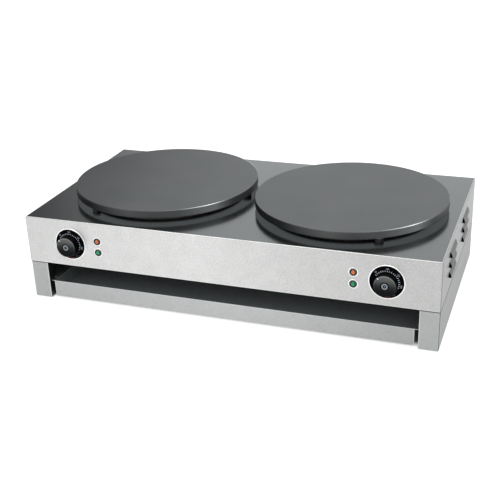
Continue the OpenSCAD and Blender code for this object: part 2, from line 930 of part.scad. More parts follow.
module thermostat_shaft() {
    tip = front_y - knob_back - knob_bore;
    inner = inside_y + bush_bore - fit;
    intersection() {
        rod_y([dial_x, tip, dial_z], shaft_d, inner - tip);
        union() {
            shaft_keep(tip - 1, front_y - knob_back + 1);
            block_between(
                [dial_x - shaft_d, front_y - knob_back, dial_z - shaft_d],
                [dial_x + shaft_d, inner + 1, dial_z + shaft_d]
            );
        }
    }
}

module left_thermostat_shaft() {
    color([0.78, 0.76, 0.70]) on_side(false) thermostat_shaft();
}

module right_thermostat_shaft() {
    color([0.78, 0.76, 0.70]) on_side(true) thermostat_shaft();
}

// Bulb between two turns of the element, and its thin tube to the thermostat.
module sensing_bulb() {
    feed_y = inside_y + thermo_l / 2;
    x0 = plate_x + bulb_l / 2;
    translate([x0, bulb_y, bulb_z]) rotate([0, -90, 0]) cylinder(d = bulb_d, h = bulb_l);
    wire([
        [x0 - 1, bulb_y, bulb_z],
        [plate_x + tail_x, bulb_y, bulb_z],
        [plate_x + tail_x, bulb_y, tail_z],
        [dial_x, bulb_y, tail_z],
        [dial_x, feed_y, tail_z],
        [dial_x, feed_y, dial_z + thermo_h / 2]
    ], tail_d / 2);
}

module left_sensing_bulb() {
    color([0.75, 0.50, 0.35]) on_side(false) sensing_bulb();
}

module right_sensing_bulb() {
    color([0.75, 0.50, 0.35]) on_side(true) sensing_bulb();
}

// Screws through the fascia into the thermostats, hidden under the knobs.
module thermostat_screws() {
    color([0.80, 0.78, 0.70]) both_sides() for (s = [-1, 1]) {
        x = dial_x + s * thermo_screw_x;
        rod_y([x, front_y - m4_head_h, dial_z], m4_head_d, m4_head_h);
        rod_y([x, front_y - 1, dial_z], m4, thermo_screw_l + sheet_t + 1);
    }
}

// Turned profile of a knob: x is the radius and y the distance out of the fascia.
module knob_profile() {
    face_r = knob_d / 2;
    back_r = face_r + knob_taper / 2;
    shoulder = knob_reach - knob_edge_r;
    difference() {
        union() {
            polygon([[0, knob_back], [back_r, knob_back], [face_r, shoulder], [0, shoulder]]);
            domed_section(face_r, knob_reach, knob_edge_r);
        }
        translate([-1, -1]) square([face_r + 1, knob_back + 1]);
        translate([-1, knob_reach - cap_well]) square([1 + cap_well_d / 2, cap_well + 1]);
    }
}

// A turned shape along the dial's axis, its profile's y pointing out of the fascia.
module turned_dial() {
    translate([dial_x, front_y, dial_z]) rotate([90, 0, 0]) rotate_extrude() children();
}

// The pointer's groove in the knob's face, at the low end of the scale.
module pointer_groove() {
    translate([dial_x, front_y - knob_reach, dial_z]) rotate([0, pointer_angle, 0])
        translate([-groove[0] / 2, -1, knob_d / 2 - groove[2]])
            cube([groove[0], groove[1], groove[2] + knob_taper]);
}

// angle_sign turns the pointer back on the mirrored side, so that both dials read alike.
module knob(angle_sign) {
    bore_end = front_y - knob_back - knob_bore;
    difference() {
        turned_dial() knob_profile();
        intersection() {
            rod_y([dial_x, bore_end, dial_z], shaft_d, knob_bore + 1);
            shaft_keep(bore_end - 1, front_y);
        }
        mirror_about_dial(angle_sign) pointer_groove();
    }
}

// Mirrors its children left to right about the dial's own centre when sign is -1.
module mirror_about_dial(sign) {
    translate([dial_x, 0, 0]) mirror([sign < 0 ? 1 : 0, 0, 0]) translate([-dial_x, 0, 0])
        children();
}

module left_knob() {
    color([0.10, 0.10, 0.11]) on_side(false) knob(-1);
}

module right_knob() {
    color([0.10, 0.10, 0.11]) on_side(true) knob(1);
}

// Metal insert in the middle of the knob's face, with a dished centre.
module knob_insert() {
    low = knob_reach - cap_well;
    high = knob_reach - cap_sink;
    turned_dial() difference() {
        translate([0, low]) square([cap_d / 2, high - low]);
        translate([-1, high - cap_dish]) square([1 + cap_dish_d / 2, cap_dish + 1]);
    }
}

module left_knob_insert() {
    color([0.70, 0.72, 0.74]) on_side(false) knob_insert();
}

module right_knob_insert() {
    color([0.70, 0.72, 0.74]) on_side(true) knob_insert();
}

// Scale ring, with a rounded outer edge and two pegs through the fascia.
module dial_bezel() {
    turned_dial() difference() {
        domed_section(bezel_d / 2, bezel_t, bezel_t / 2);
        translate([-1, -1]) square([bezel_hole_d / 2 + 1, bezel_t + 2]);
    }
    for (s = [-1, 1])
        rod_y([dial_x, front_y - 1, dial_z + s * peg_r], peg_d, peg_l + 1);
}

module left_dial_bezel() {
    color([0.06, 0.06, 0.07]) on_side(false) dial_bezel();
}

module right_dial_bezel() {
    color([0.06, 0.06, 0.07]) on_side(true) dial_bezel();
}

// ---- Lamps ----

// Lens with a low domed face, from its front down to the end of the holder.
module lamp_lens(z) {
    r = lamp_lens_d / 2;
    dome_r = (r * r + lens_rise * lens_rise) / (2 * lens_rise);
    translate([lamp_x, front_y, z]) rotate([90, 0, 0]) rotate_extrude() {
        translate([0, -holder_l]) square([r, holder_l + rim_t]);
        intersection() {
            translate([0, rim_t + lens_rise - dome_r]) circle(dome_r);
            translate([0, rim_t - eps]) square([r, lens_rise + 1]);
        }
    }
}

module left_amber_lens() {
    color([0.95, 0.45, 0.10]) on_side(false) lamp_lens(amber_z);
}

module left_green_lens() {
    color([0.10, 0.60, 0.35]) on_side(false) lamp_lens(green_z);
}

module right_amber_lens() {
    color([0.95, 0.45, 0.10]) on_side(true) lamp_lens(amber_z);
}

module right_green_lens() {
    color([0.10, 0.60, 0.35]) on_side(true) lamp_lens(green_z);
}

// Places its children at the four lamps, with z out of the fascia.
module each_lamp() {
    both_sides() for (z = [amber_z, green_z])
        translate([lamp_x, front_y, z]) rotate([90, 0, 0]) children();
}

module lamp_holders() {
    color([0.07, 0.07, 0.08]) each_lamp() rotate_extrude() difference() {
        union() {
            translate([0, -holder_l]) square([holder_d / 2, holder_l]);
            domed_section(lamp_rim_d / 2, rim_t, rim_t / 2);
        }
        translate([-1, -holder_l - 1]) square([1 + lamp_lens_d / 2, holder_l + rim_t + 2]);
    }
}

module lamp_nuts() {
    color([0.12, 0.12, 0.13]) each_lamp() translate([0, 0, -sheet_t - lamp_nut_h])
        difference() {
            cylinder(d = holder_d + 2 * lamp_nut_wall, h = lamp_nut_h);
            translate([0, 0, -1]) cylinder(d = holder_d, h = lamp_nut_h + 2);
        }
}

module lamp_bodies() {
    color([0.85, 0.84, 0.80]) each_lamp() translate([0, 0, -holder_l - lamp_body_l]) {
        cylinder(d = holder_d, h = lamp_body_l);
        translate([-lamp_blade[0] / 2, -lamp_blade[2] / 2, -lamp_blade[1]])
            cube([lamp_blade[0], lamp_blade[2], lamp_blade[1] + eps]);
    }
}

// ---- Supply and wiring ----

module terminal_block() {
    color([0.88, 0.86, 0.78]) translate([0, block_y, pan_top]) difference() {
        translate([-block[0] / 2, -block[1] / 2, 0]) cube(block);
        for (s = [-1, 1], x = wire_posts)
            translate([s * x, -post_screw_y, block[2] - post_screw_l])
                cylinder(d = m4, h = post_screw_l + 1);
    }
}

module terminal_screws() {
    color([0.80, 0.68, 0.35]) for (s = [-1, 1], x = wire_posts)
        translate([s * x, block_y - post_screw_y, block_top - post_screw_l]) {
            cylinder(d = m4, h = post_screw_l);
            translate([0, 0, post_screw_l]) cylinder(d = post_head_d, h = post_head_h);
        }
}

module earth_stud() {
    color([0.80, 0.70, 0.40]) translate([earth_x, block_y, seam_z])
        cylinder(d = m5, h = earth_l);
}

module earth_nut() {
    color([0.78, 0.66, 0.36]) translate([earth_x, block_y, pan_top]) difference() {
        hex_bar(m5_flats, m5_nut_h);
        translate([0, 0, -1]) cylinder(d = m5, h = m5_nut_h + 2);
    }
}

// Body of the gland: a thread through the panel and a hexagon against it.
module cable_gland() {
    thread_l = gland_in + sheet_t + gland_hex_h + gland_thread_out;
    color([0.12, 0.12, 0.13]) translate([0, back_y, gland_z]) rotate([-90, 0, 0])
        difference() {
            union() {
                hex_bar(gland_flats, gland_hex_h);
                translate([0, 0, -sheet_t - gland_in])
                    cylinder(d = gland_thread_d, h = thread_l);
            }
            translate([0, 0, -sheet_t - gland_in - 1]) cylinder(d = cable_d, h = thread_l + 2);
        }
}

// Domed nut that closes the gland on the cable.
module gland_nut() {
    nut_l = gland_reach - gland_hex_h;
    color([0.12, 0.12, 0.13]) translate([0, back_y + gland_hex_h, gland_z])
        rotate([-90, 0, 0]) difference() {
            intersection() {
                hex_bar(gland_flats, nut_l);
                rotate_extrude() domed_section(gland_flats / cos(30) / 2, nut_l, gland_dome_r);
            }
            translate([0, 0, -1]) cylinder(d = gland_thread_d, h = gland_thread_out + 1);
            cylinder(d = cable_d, h = nut_l + 1);
        }
}

module gland_locknut() {
    color([0.14, 0.14, 0.15]) translate([0, back_y - sheet_t, gland_z])
        rotate([90, 0, 0]) difference() {
            hex_bar(gland_flats, locknut_h);
            translate([0, 0, -1]) cylinder(d = gland_thread_d, h = locknut_h + 2);
        }
}

// Five insulated wires of one side, each ending face to face on its terminals.
module wiring() {
    low_z = dial_z - blade_z;
    high_z = dial_z + blade_z;
    near_x = dial_x - blade_x;
    far_x = dial_x + blade_x;
    outer = [plate_x + outer_leg[0], plate_y + outer_leg[1]];
    inner = [plate_x + inner_leg[0], plate_y + inner_leg[1]];
    return_z = green_z - wire_step;
    turn_y = block_y - wire_turn;
    lamp_end = lamp_back + lamp_blade[1];
    wire([
        [wire_posts[0], block_y, block_top], [wire_posts[0], block_y, low_z],
        [near_x, block_y, low_z], [near_x, blade_end, low_z]
    ], wire_r);
    wire([
        [far_x, blade_end, high_z], [far_x, outer[1], high_z],
        [outer[0], outer[1], high_z], [outer[0], outer[1], pin_z]
    ], wire_r);
    wire([
        [inner[0], inner[1], pin_z], [inner[0], inner[1], return_z],
        [inner[0], block_y, return_z], [wire_posts[2], block_y, return_z],
        [wire_posts[2], block_y, block_top]
    ], wire_r);
    wire([
        [near_x, blade_end, high_z], [near_x, blade_end + wire_step, high_z],
        [lamp_x, blade_end + wire_step, high_z], [lamp_x, blade_end + wire_step, amber_z],
        [lamp_x, lamp_end, amber_z]
    ], wire_r);
    wire([
        [lamp_x, lamp_end, green_z], [lamp_x, turn_y, green_z],
        [wire_posts[1], turn_y, green_z], [wire_posts[1], block_y, green_z],
        [wire_posts[1], block_y, block_top]
    ], wire_r);
}

module left_wiring() {
    color([0.55, 0.30, 0.20]) on_side(false) wiring();
}

module right_wiring() {
    color([0.55, 0.30, 0.20]) on_side(true) wiring();
}

// ---- Screws ----

// Pan-head screws from under the base flanges up into the floor pan.
module base_screws() {
    color([0.75, 0.75, 0.75]) both_sides() for (y = base_screw_y)
        translate([base_screw_x, front_y + y, seam_z - frame_t]) {
            cylinder(d = m4, h = base_screw_l);
            translate([0, 0, -m4_head_h]) cylinder(d = m4_head_d, h = m4_head_h);
        }
}

// Pan-head screws through the rear panel.
module rear_screws() {
    color([0.75, 0.75, 0.75]) both_sides() {
        rear_screw(rear_screw_x, rear_screw_z[1]);
        rear_screw(rear_low_x, rear_screw_z[0]);
    }
}

module rear_screw(x, z) {
    rod_y([x, back_y - rear_screw_l, z], m4, rear_screw_l);
    rod_y([x, back_y, z], m4_head_d, m4_head_h);
}

housing_cover();
rear_panel();
floor_pan();
pan_front_strip();
left_side_frame();
right_side_frame();
rear_skirt();
foot_pads();
left_tray_runner();
right_tray_runner();
drip_tray();
left_griddle_plate();
right_griddle_plate();
left_heating_element();
right_heating_element();
left_clamp_plate();
right_clamp_plate();
left_insulation_disc();
right_insulation_disc();
left_plate_standoffs();
right_plate_standoffs();
left_standoff_screws();
right_standoff_screws();
clamp_studs();
clamp_nuts();
terminal_bushes();
left_thermostat_body();
right_thermostat_body();
left_thermostat_shaft();
right_thermostat_shaft();
left_sensing_bulb();
right_sensing_bulb();
thermostat_screws();
left_knob();
right_knob();
left_knob_insert();
right_knob_insert();
left_dial_bezel();
right_dial_bezel();
left_amber_lens();
left_green_lens();
right_amber_lens();
right_green_lens();
lamp_holders();
lamp_nuts();
lamp_bodies();
terminal_block();
terminal_screws();
earth_stud();
earth_nut();
cable_gland();
gland_nut();
gland_locknut();
left_wiring();
right_wiring();
base_screws();
rear_screws();
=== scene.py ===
"""Looks of a double electric crepe maker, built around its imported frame.

Every length is in metres and every piece is placed from the frame's own nodes. Each
sub-assembly is a class that builds its meshes and dresses them, and each finish is a
frozen dataclass that makes one procedural material.
"""

from __future__ import annotations

import json
import logging
import math
from dataclasses import dataclass, field
from enum import Enum
from typing import Iterable

import bmesh
import bpy
from mathutils import Matrix, Vector

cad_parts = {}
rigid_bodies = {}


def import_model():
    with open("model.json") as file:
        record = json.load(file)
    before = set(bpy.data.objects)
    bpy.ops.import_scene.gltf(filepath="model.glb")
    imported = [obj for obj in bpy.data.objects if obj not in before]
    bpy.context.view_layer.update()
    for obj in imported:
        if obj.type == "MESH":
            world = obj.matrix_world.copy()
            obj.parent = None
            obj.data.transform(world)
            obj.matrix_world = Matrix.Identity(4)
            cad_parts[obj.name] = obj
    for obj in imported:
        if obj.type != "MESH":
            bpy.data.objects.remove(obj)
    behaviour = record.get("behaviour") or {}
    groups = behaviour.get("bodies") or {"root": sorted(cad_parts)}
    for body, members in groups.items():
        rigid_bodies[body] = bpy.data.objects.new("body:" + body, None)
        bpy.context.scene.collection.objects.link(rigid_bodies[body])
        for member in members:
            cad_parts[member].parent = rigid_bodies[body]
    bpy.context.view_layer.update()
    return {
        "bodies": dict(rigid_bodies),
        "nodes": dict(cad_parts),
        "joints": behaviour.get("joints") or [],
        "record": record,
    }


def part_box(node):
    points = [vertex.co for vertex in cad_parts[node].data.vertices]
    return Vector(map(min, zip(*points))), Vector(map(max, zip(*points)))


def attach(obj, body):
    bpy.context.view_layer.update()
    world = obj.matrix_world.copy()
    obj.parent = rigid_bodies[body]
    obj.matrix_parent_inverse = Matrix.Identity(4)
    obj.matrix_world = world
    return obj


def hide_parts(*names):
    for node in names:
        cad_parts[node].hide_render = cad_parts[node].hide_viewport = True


LOG = logging.getLogger("crepe_maker")
SHEET = 0.0012  # thickness of the cover and of the side frames
SUNK = 0.0001  # how far a trim goes into the sheet behind it
FINE = 0.00002  # depth of a fine grain's bump

Colour = tuple[float, float, float]
Span = tuple[float, float]
Points = list[tuple[float, float]]
Socket = bpy.types.NodeSocket

BLACK: Colour = (0.0, 0.0, 0.0)
WHITE: Colour = (1.0, 1.0, 1.0)
FRONT = Vector((0.0, -1.0, 0.0))
BACK = Vector((0.0, 1.0, 0.0))
DOWN = Vector((0.0, 0.0, -1.0))


class Side(Enum):
    """The machine's two halves, with the sign of their x."""

    LEFT = -1
    RIGHT = 1

    @property
    def label(self) -> str:
        """Word that starts the names of this side's nodes."""
        return self.name.lower()


class Grain(Enum):
    """Direction of a sheet's brushing, as stretch factors along x, y and z."""

    ALONG_X = (0.018, 1.0, 1.0)
    LEVEL = (0.018, 0.018, 1.0)
    NONE = (1.0, 1.0, 1.0)


@dataclass(frozen=True)
class Band:
    """A strip of a sheet with painted light or shade, such as a painted highlight on a folded edge or
    painted shade in a seam.

    Each span holds one coordinate between two values; x is taken without its sign.
    """

    gain: float
    x: Span | None = None
    y: Span | None = None
    z: Span | None = None
    soft: float = 0.0003


def shaded(colour: Colour, share: float) -> Colour:
    """A colour, darkened to a share of itself."""
    return (colour[0] * share, colour[1] * share, colour[2] * share)


# ---- Node helpers ----


class Graph:
    """Small builder for a node tree."""

    def __init__(self, tree: bpy.types.NodeTree, space: str) -> None:
        """Starts the graph with its coordinates.

        Args:
            tree: The node tree.
            space: Name of the coordinates; "Object" gives metres in the row frame.
        """
        self.tree = tree
        self.coords = self.add("TexCoord").outputs[space]
        self.x, self.y, self.z = self.add("SeparateXYZ", self.coords).outputs

    def feed(self, target: Socket, value: object) -> None:
        """Links an output to an input, or sets the input to a plain value.

        Args:
            target: The input.
            value: The output, or the plain value.
        """
        if isinstance(value, bpy.types.NodeSocket):
            self.tree.links.new(value, target)
        else:
            target.default_value = value

    def add(self, kind: str, *feeds: object, **values: object) -> bpy.types.Node:
        """Adds a node.

        Args:
            kind: The node's type, without its "ShaderNode" start.
            *feeds: Outputs or plain values for the first inputs, in order.
            **values: Properties by name, or inputs by name with spaces as underscores.

        Returns:
            The new node.
        """
        node = self.tree.nodes.new("ShaderNode" + kind)
        for key, value in values.items():
            if hasattr(node, key):
                setattr(node, key, value)
            else:
                self.feed(node.inputs[key.replace("_", " ")], value)
        for target, value in zip(node.inputs, feeds):
            self.feed(target, value)
        return node

    def across(self) -> Socket:
        """x without its sign."""
        return self.math("ABSOLUTE", self.x)

    def noise(
        self, scale: float, stretch: Iterable[float] = (1, 1, 1), detail: float = 4.0
    ) -> Socket:
        """Noise of the object's own space.

        Args:
            scale: Number of cells in a metre.
            stretch: Factors along x, y and z, under 1 to lengthen the cells.
            detail: Octaves of finer noise.

        Returns:
            The noise value, about 0.3 to 0.7.
        """
        space = self.add("Mapping", Vector=self.coords, Scale=tuple(stretch)).outputs["Vector"]
        node = self.add("TexNoise", Vector=space, Scale=scale, Detail=detail, Roughness=0.6)
        return node.outputs["Fac"]

    def remap(
        self, value: Socket, low: float, high: float, start: float, end: Socket | float
    ) -> Socket:
        """Maps a value from one range onto another and clamps it there."""
        return self.add("MapRange", value, low, high, start, end, clamp=True).outputs["Result"]

    def step(self, value: Socket, start: float, end: float) -> Socket:
        """Mask that rises from 0 where a value is at its start to 1 at its end."""
        return self.remap(value, start, end, 0.0, 1.0)

    def spread(self, noise: Socket, start: float, end: float, edge: float = 0.3) -> Socket:
        """Maps a noise's usual range, from edge to 1 - edge, onto another."""
        return self.remap(noise, edge, 1.0 - edge, start, end)

    def math(self, operation: str, first: Socket, second: Socket | float = 0.0) -> Socket:
        """Combines two values, or works on the first alone, by a Math node's operation."""
        return self.add("Math", first, second, operation=operation).outputs["Value"]

    def ramp(self, factor: Socket, stops: Iterable[tuple[float, Colour]]) -> Socket:
        """Colour that follows a factor through stops, the first at 0 and the last at 1.

        Args:
            factor: The factor to follow.
            stops: Pairs of a place and its colour, in rising order.

        Returns:
            The colour.
        """
        first, *middle, last = stops
        node = self.add("ValToRGB", factor)
        line = node.color_ramp.elements
        line[0].color = (*first[1], 1)
        line[1].color = (*last[1], 1)
        for place, colour in middle:
            line.new(place).color = (*colour, 1)
        return node.outputs["Color"]

    def mix(self, factor: Socket, first: Colour, second: Colour) -> Socket:
        """Blends two colours by a value."""
        return self.ramp(factor, ((0.0, first), (1.0, second)))

    def tinted(self, factor: Socket, tint: Colour, low: float, high: float = 1.0) -> Socket:
        """A tint that a factor moves between two shares of itself."""
        return self.mix(factor, shaded(tint, low), shaded(tint, high))

    def blend(self, main: Socket, other: Socket) -> Socket:
        """Sum of two noises, 0 to 1 in all, with seven tenths of it from the main one."""
        share = self.spread(main, 0.0, 0.7, edge=0.35)
        return self.math("ADD", share, self.spread(other, 0.0, 0.3))

    def profile(self, value: Socket, stops: tuple[Span, ...]) -> Socket:
        """Number that follows a value from stop to stop, and stays level past both ends.

        Args:
            value: The value to follow.
            stops: Pairs of a value and its number, in rising order.

        Returns:
            The number.
        """
        start, end = stops[0][0], stops[-1][0]
        greys = [((at - start) / (end - start), (number,) * 3) for at, number in stops]
        return self.ramp(self.step(value, start, end), greys)

    def choose(self, factor: Socket, first: Socket, second: object, colour: bool = True) -> Socket:
        """Blends two colours, or two numbers, by a factor.

        Args:
            factor: 0 for the first alone and 1 for the second alone.
            first: The first colour or number.
            second: The second one, as an output or a plain value.
            colour: Whether the two are colours.

        Returns:
            The blend.
        """
        node = self.add("Mix", data_type="RGBA" if colour else "FLOAT", Factor=factor)
        start, result = (6, 2) if colour else (2, 0)  # its sockets for colours or numbers
        self.feed(node.inputs[start], first)
        self.feed(node.inputs[start + 1], second)
        return node.outputs[result]

    def within(self, value: Socket, span: Span, soft: float) -> Socket:
        """Mask that is 1 where a value lies in a span, with soft ends."""
        rising = self.step(value, span[0] - soft, span[0])
        return self.math("MULTIPLY", rising, self.step(value, span[1] + soft, span[1]))

    def inside(self, spans: tuple[Span | None, Span | None, Span | None], soft: float) -> Socket:
        """Mask of the points whose x (without its sign), y and z lie in the given spans.

        Args:
            spans: Spans of x, y and z, or None where that one is free.
            soft: Width of the mask's soft ends.

        Returns:
            The mask.
        """
        mask = None
        for value, span in zip((self.across(), self.y, self.z), spans):
            if span is not None:
                part = self.within(value, span, soft)
                mask = part if mask is None else self.math("MULTIPLY", mask, part)
        return mask

    def times(self, colour: Socket, share: Socket) -> Socket:
        """Multiplies a colour by a number."""
        return self.add("VectorMath", colour, operation="SCALE", Scale=share).outputs["Vector"]

    def gained(self, colour: Socket, mask: Socket, gain: Socket | float) -> Socket:
        """Multiplies a colour by a gain where the mask is 1."""
        return self.times(colour, self.remap(mask, 0.0, 1.0, 1.0, gain))

    def banded(self, colour: Socket, bands: Iterable[Band]) -> Socket:
        """Lightens or darkens a colour inside each band.

        Args:
            colour: The colour.
            bands: The bands, in the order in which they act.

        Returns:
            The changed colour.
        """
        for band in bands:
            mask = self.inside((band.x, band.y, band.z), band.soft)
            colour = self.gained(colour, mask, band.gain)
        return colour

    def distance(self, first: Socket, second: Socket, centre: Span) -> Socket:
        """Distance of a point, whose two coordinates are given, from a centre."""
        flat = self.add("CombineXYZ", first, second).outputs["Vector"]
        return self.add("VectorMath", flat, (*centre, 0.0), operation="DISTANCE").outputs["Value"]


class Skin(Graph):
    """Node tree of one material."""

    def __init__(self, name: str, **values: object) -> None:
        """Starts a material with a Principled shader.

        Args:
            name: The material's name.
            **values: Values for the shader's inputs, as in set.
        """
        self.material = bpy.data.materials.new(name)
        self.material.use_nodes = True
        super().__init__(self.material.node_tree, "Object")
        self.set(**values)

    def set(self, **values: object) -> None:
        """Feeds the shader's own inputs.

        Args:
            **values: Outputs or plain values, by the input's name with spaces as underscores.
        """
        shader = self.tree.nodes["Principled BSDF"]
        for key, value in values.items():
            self.feed(shader.inputs[key.replace("_", " ")], value)

    def finished(
        self, colour: Socket, rough: Socket, relief: Socket, depth: float, strength: float = 0.3
    ) -> bpy.types.Material:
        """Gives the shader its colour, roughness and bump.

        Args:
            colour: Base colour.
            rough: Roughness.
            relief: Height of the bump, 0 to 1.
            depth: Depth of the bump's full range, in metres.
            strength: Share of the bump that is used.

        Returns:
            The material.
        """
        bump = self.add("Bump", Strength=strength, Distance=depth, Height=relief)
        self.set(Base_Color=colour, Roughness=rough, Normal=bump.outputs["Normal"])
        return self.material


# ---- Finishes ----


@dataclass(frozen=True)
class BrushedSteel:
    """Stainless sheet with a fine grain, cloudy handled patches, and bands of painted highlight and
    shade on its folds.
    """

    name: str
    tint: Colour = (0.58, 0.585, 0.58)
    grain: Grain = Grain.LEVEL
    roughness: Span = (0.30, 0.42)
    cloud_share: float = 0.18
    bands: tuple[Band, ...] = ()
    # The film's box holds a cooked-on film whose tint is also darkened as painted shade inside the
    # tray.
    film: tuple[Span, Span, Span] | None = None
    film_metal: float = 0.35
    film_tint: Colour = (0.272, 0.293, 0.304)
    # Profile along x that scales the colour: a painted falloff of light.
    tones: tuple[Span, ...] = ()
    grain_scale: float = 2600.0
    cloud_scale: float = 34.0
    fleck_scale: float = 420.0
    grain_share: float = 0.6

    def material(self) -> bpy.types.Material:
        """Builds the sheet's material; inside the film's box a dull cooked-on film lies on it, tinted
        darker and bluer as painted shade.

        Returns:
            The material.
        """
        skin = Skin(self.name, Metallic=1.0)
        grain = skin.noise(self.grain_scale, self.grain.value, detail=3.0)
        cloud = skin.noise(self.cloud_scale, detail=5.0)
        blotch = skin.blend(skin.noise(self.fleck_scale, detail=2.0), cloud)
        colour = skin.tinted(blotch, self.tint, 1 - self.cloud_share)
        # Painted falloff of light along x.
        if self.tones:
            colour = skin.times(colour, skin.profile(skin.x, self.tones))
        # Cooked-on film, darker and bluer as painted shade.
        if self.film is not None:
            mask = skin.inside(self.film, 0.0002)
            film = skin.tinted(blotch, self.film_tint, 1 - self.cloud_share)
            colour = skin.choose(mask, colour, film)
            skin.set(Metallic=skin.remap(mask, 0.0, 1.0, 1.0, self.film_metal))
        low, high = self.roughness
        share, rest = self.grain_share, 1 - self.grain_share
        fine = skin.spread(grain, low * share, high * share)
        rough = skin.math("ADD", fine, skin.spread(cloud, low * rest, high * rest))
        return skin.finished(skin.banded(colour, self.bands), rough, grain, FINE, strength=0.35)


@dataclass(frozen=True)
class Louvres:
    """Where the pressed louvres' hoods are, to paint shade on them, in the hollows under them and at
    their open front ends.
    """

    lowest: float = 0.1115
    pitch: float = 0.021
    out: float = 0.005
    height: float = 0.0125
    rows: int = 3
    starts: tuple[float, ...] = (-0.136, 0.039)
    length: float = 0.064
    # Gains of painted shade: on the cut edges, along each hood from fold to rim, in the hollows and at
    # the open front ends.
    slit_gain: float = 0.05
    fold_gain: float = 0.58
    rim_gain: float = 0.05
    hollow_gain: float = 0.03
    end_width: float = 0.0010
    end_gain: float = 0.25

    def slits(self, side_x: float) -> list[Band]:
        """Bands of painted shade on the sheet's cut edges, behind the hoods' openings.

        Args:
            side_x: Outer face of the side, without its sign.

        Returns:
            One band for each column of louvres.
        """
        rows = (self.lowest - 0.002, self.lowest + self.rows * self.pitch)
        cut = (side_x - 0.0015, side_x - 0.0003)
        ends = [(start - self.height / 2, start + self.length) for start in self.starts]
        return [Band(self.slit_gain, cut, span, rows) for span in ends]

    def shade(self, skin: Skin, colour: Socket, side_x: float) -> Socket:
        """Paints shade on the hoods, darker towards their rims, and paints their inner faces and front
        ends near black as shade.

        Args:
            skin: The material's nodes.
            colour: The sheet's colour.
            side_x: Outer face of the side, without its sign.

        Returns:
            The shaded colour.
        """
        radius = (self.height**2 + self.out**2) / (2 * self.out)
        across = skin.across()
        above = skin.math("SUBTRACT", skin.z, self.lowest - SHEET)
        upward = skin.math("MODULO", above, self.pitch)
        reach = skin.distance(across, upward, (side_x + self.out - radius, SHEET))
        proud = skin.step(across, side_x + 0.0001, side_x + 0.0006)
        inner = radius - SHEET
        hollow = skin.step(reach, inner + SHEET * 0.4, inner + SHEET * 0.2)
        # Painted shade: each hood darkens from fold to rim, and its hollow inner face goes near black.
        fall = ((side_x, self.fold_gain), (side_x + self.out, self.rim_gain))
        colour = skin.gained(colour, proud, skin.profile(across, fall))
        colour = skin.gained(colour, skin.math("MULTIPLY", proud, hollow), self.hollow_gain)
        # Painted shade at each hood's open front end.
        outer = skin.step(across, side_x - 0.0016, side_x - 0.0014)
        level = skin.within(upward, (SHEET * 1.8, self.height + SHEET * 0.6), 0.0004)
        top = (self.rows - 1) * self.pitch + self.height + SHEET
        beside = skin.step(above, top + 0.001, top)
        opening = skin.math("MULTIPLY", skin.math("MULTIPLY", outer, level), beside)
        for start in self.starts:
            end = skin.within(skin.y, (start - 0.0006, start + self.end_width), 0.0008)
            colour = skin.gained(colour, skin.math("MULTIPLY", opening, end), self.end_gain)
        return colour


@dataclass(frozen=True)
class HousingSteel:
    """Cover sheet: brushed level on fascia and sides, and near a mirror on the roof; its sides and roof
    carry darker tints as painted shade, and its fascia a painted falloff of light.
    """

    name: str
    roof_z: float
    side_x: float
    front_y: float
    louvres: Louvres
    bands: tuple[Band, ...]
    # One sheet throughout: the side and roof tints are darker copies of the fascia's as painted shade,
    # and the x profile is a painted falloff of light across the fascia.
    wall_tint: Colour = (0.635, 0.637, 0.63)
    side_tint: Colour = (0.235, 0.243, 0.245)
    roof_tint: Colour = (0.182, 0.188, 0.190)
    tones: tuple[Span, ...] = ((-0.43, 0.87), (-0.27, 0.95), (-0.05, 1.0), (0.2, 0.83), (0.42, 0.74))
    wall_roughness: Span = (0.30, 0.42)
    roof_roughness: Span = (0.15, 0.19)
    wall_shades: Span = (0.80, 1.06)
    side_shades: Span = (0.84, 1.04)
    roof_shade: float = 0.95
    grain_scale: float = 2600.0
    line_scale: float = 1900.0
    cloud_scale: float = 30.0
    fleck_scale: float = 450.0
    fleck_stretch: tuple[float, float, float] = (0.7, 0.7, 1.0)

    def material(self) -> bpy.types.Material:
        """Builds the cover's material.

        Returns:
            The material.
        """
        skin = Skin(self.name, Metallic=1.0)
        across = skin.across()
        level = skin.step(skin.z, self.roof_z - 0.0005, self.roof_z - 0.0001)
        past_bend = skin.step(skin.y, self.front_y + 0.0020, self.front_y + 0.0026)
        inward = skin.step(across, self.side_x - 0.0020, self.side_x - 0.0026)
        on_roof = skin.math("MULTIPLY", level, skin.math("MULTIPLY", past_bend, inward))
        on_side = skin.step(across, self.side_x - 0.0009, self.side_x - 0.0003)
        grain = skin.noise(self.grain_scale, Grain.LEVEL.value, detail=3.0)
        lines = skin.noise(self.line_scale, Grain.ALONG_X.value, detail=3.0)
        cloud = skin.noise(self.cloud_scale, detail=6.0)
        blotch = skin.blend(skin.noise(self.fleck_scale, self.fleck_stretch, detail=2.0), cloud)
        fascia = skin.tinted(blotch, self.wall_tint, *self.wall_shades)
        # Painted falloff of light along x, and darker side and roof tints as painted shade.
        fascia = skin.times(fascia, skin.profile(skin.x, self.tones))
        sides = skin.tinted(blotch, self.side_tint, *self.side_shades)
        roof = skin.tinted(cloud, self.roof_tint, self.roof_shade)
        walls = skin.banded(skin.choose(on_side, fascia, sides), self.bands)
        walls = self.louvres.shade(skin, walls, self.side_x)
        wall_rough = skin.spread(grain, *self.wall_roughness)
        roof_rough = skin.spread(lines, *self.roof_roughness)
        rough = skin.choose(on_roof, wall_rough, roof_rough, colour=False)
        colour = skin.choose(on_roof, walls, roof)
        return skin.finished(colour, rough, grain, FINE, strength=0.25)


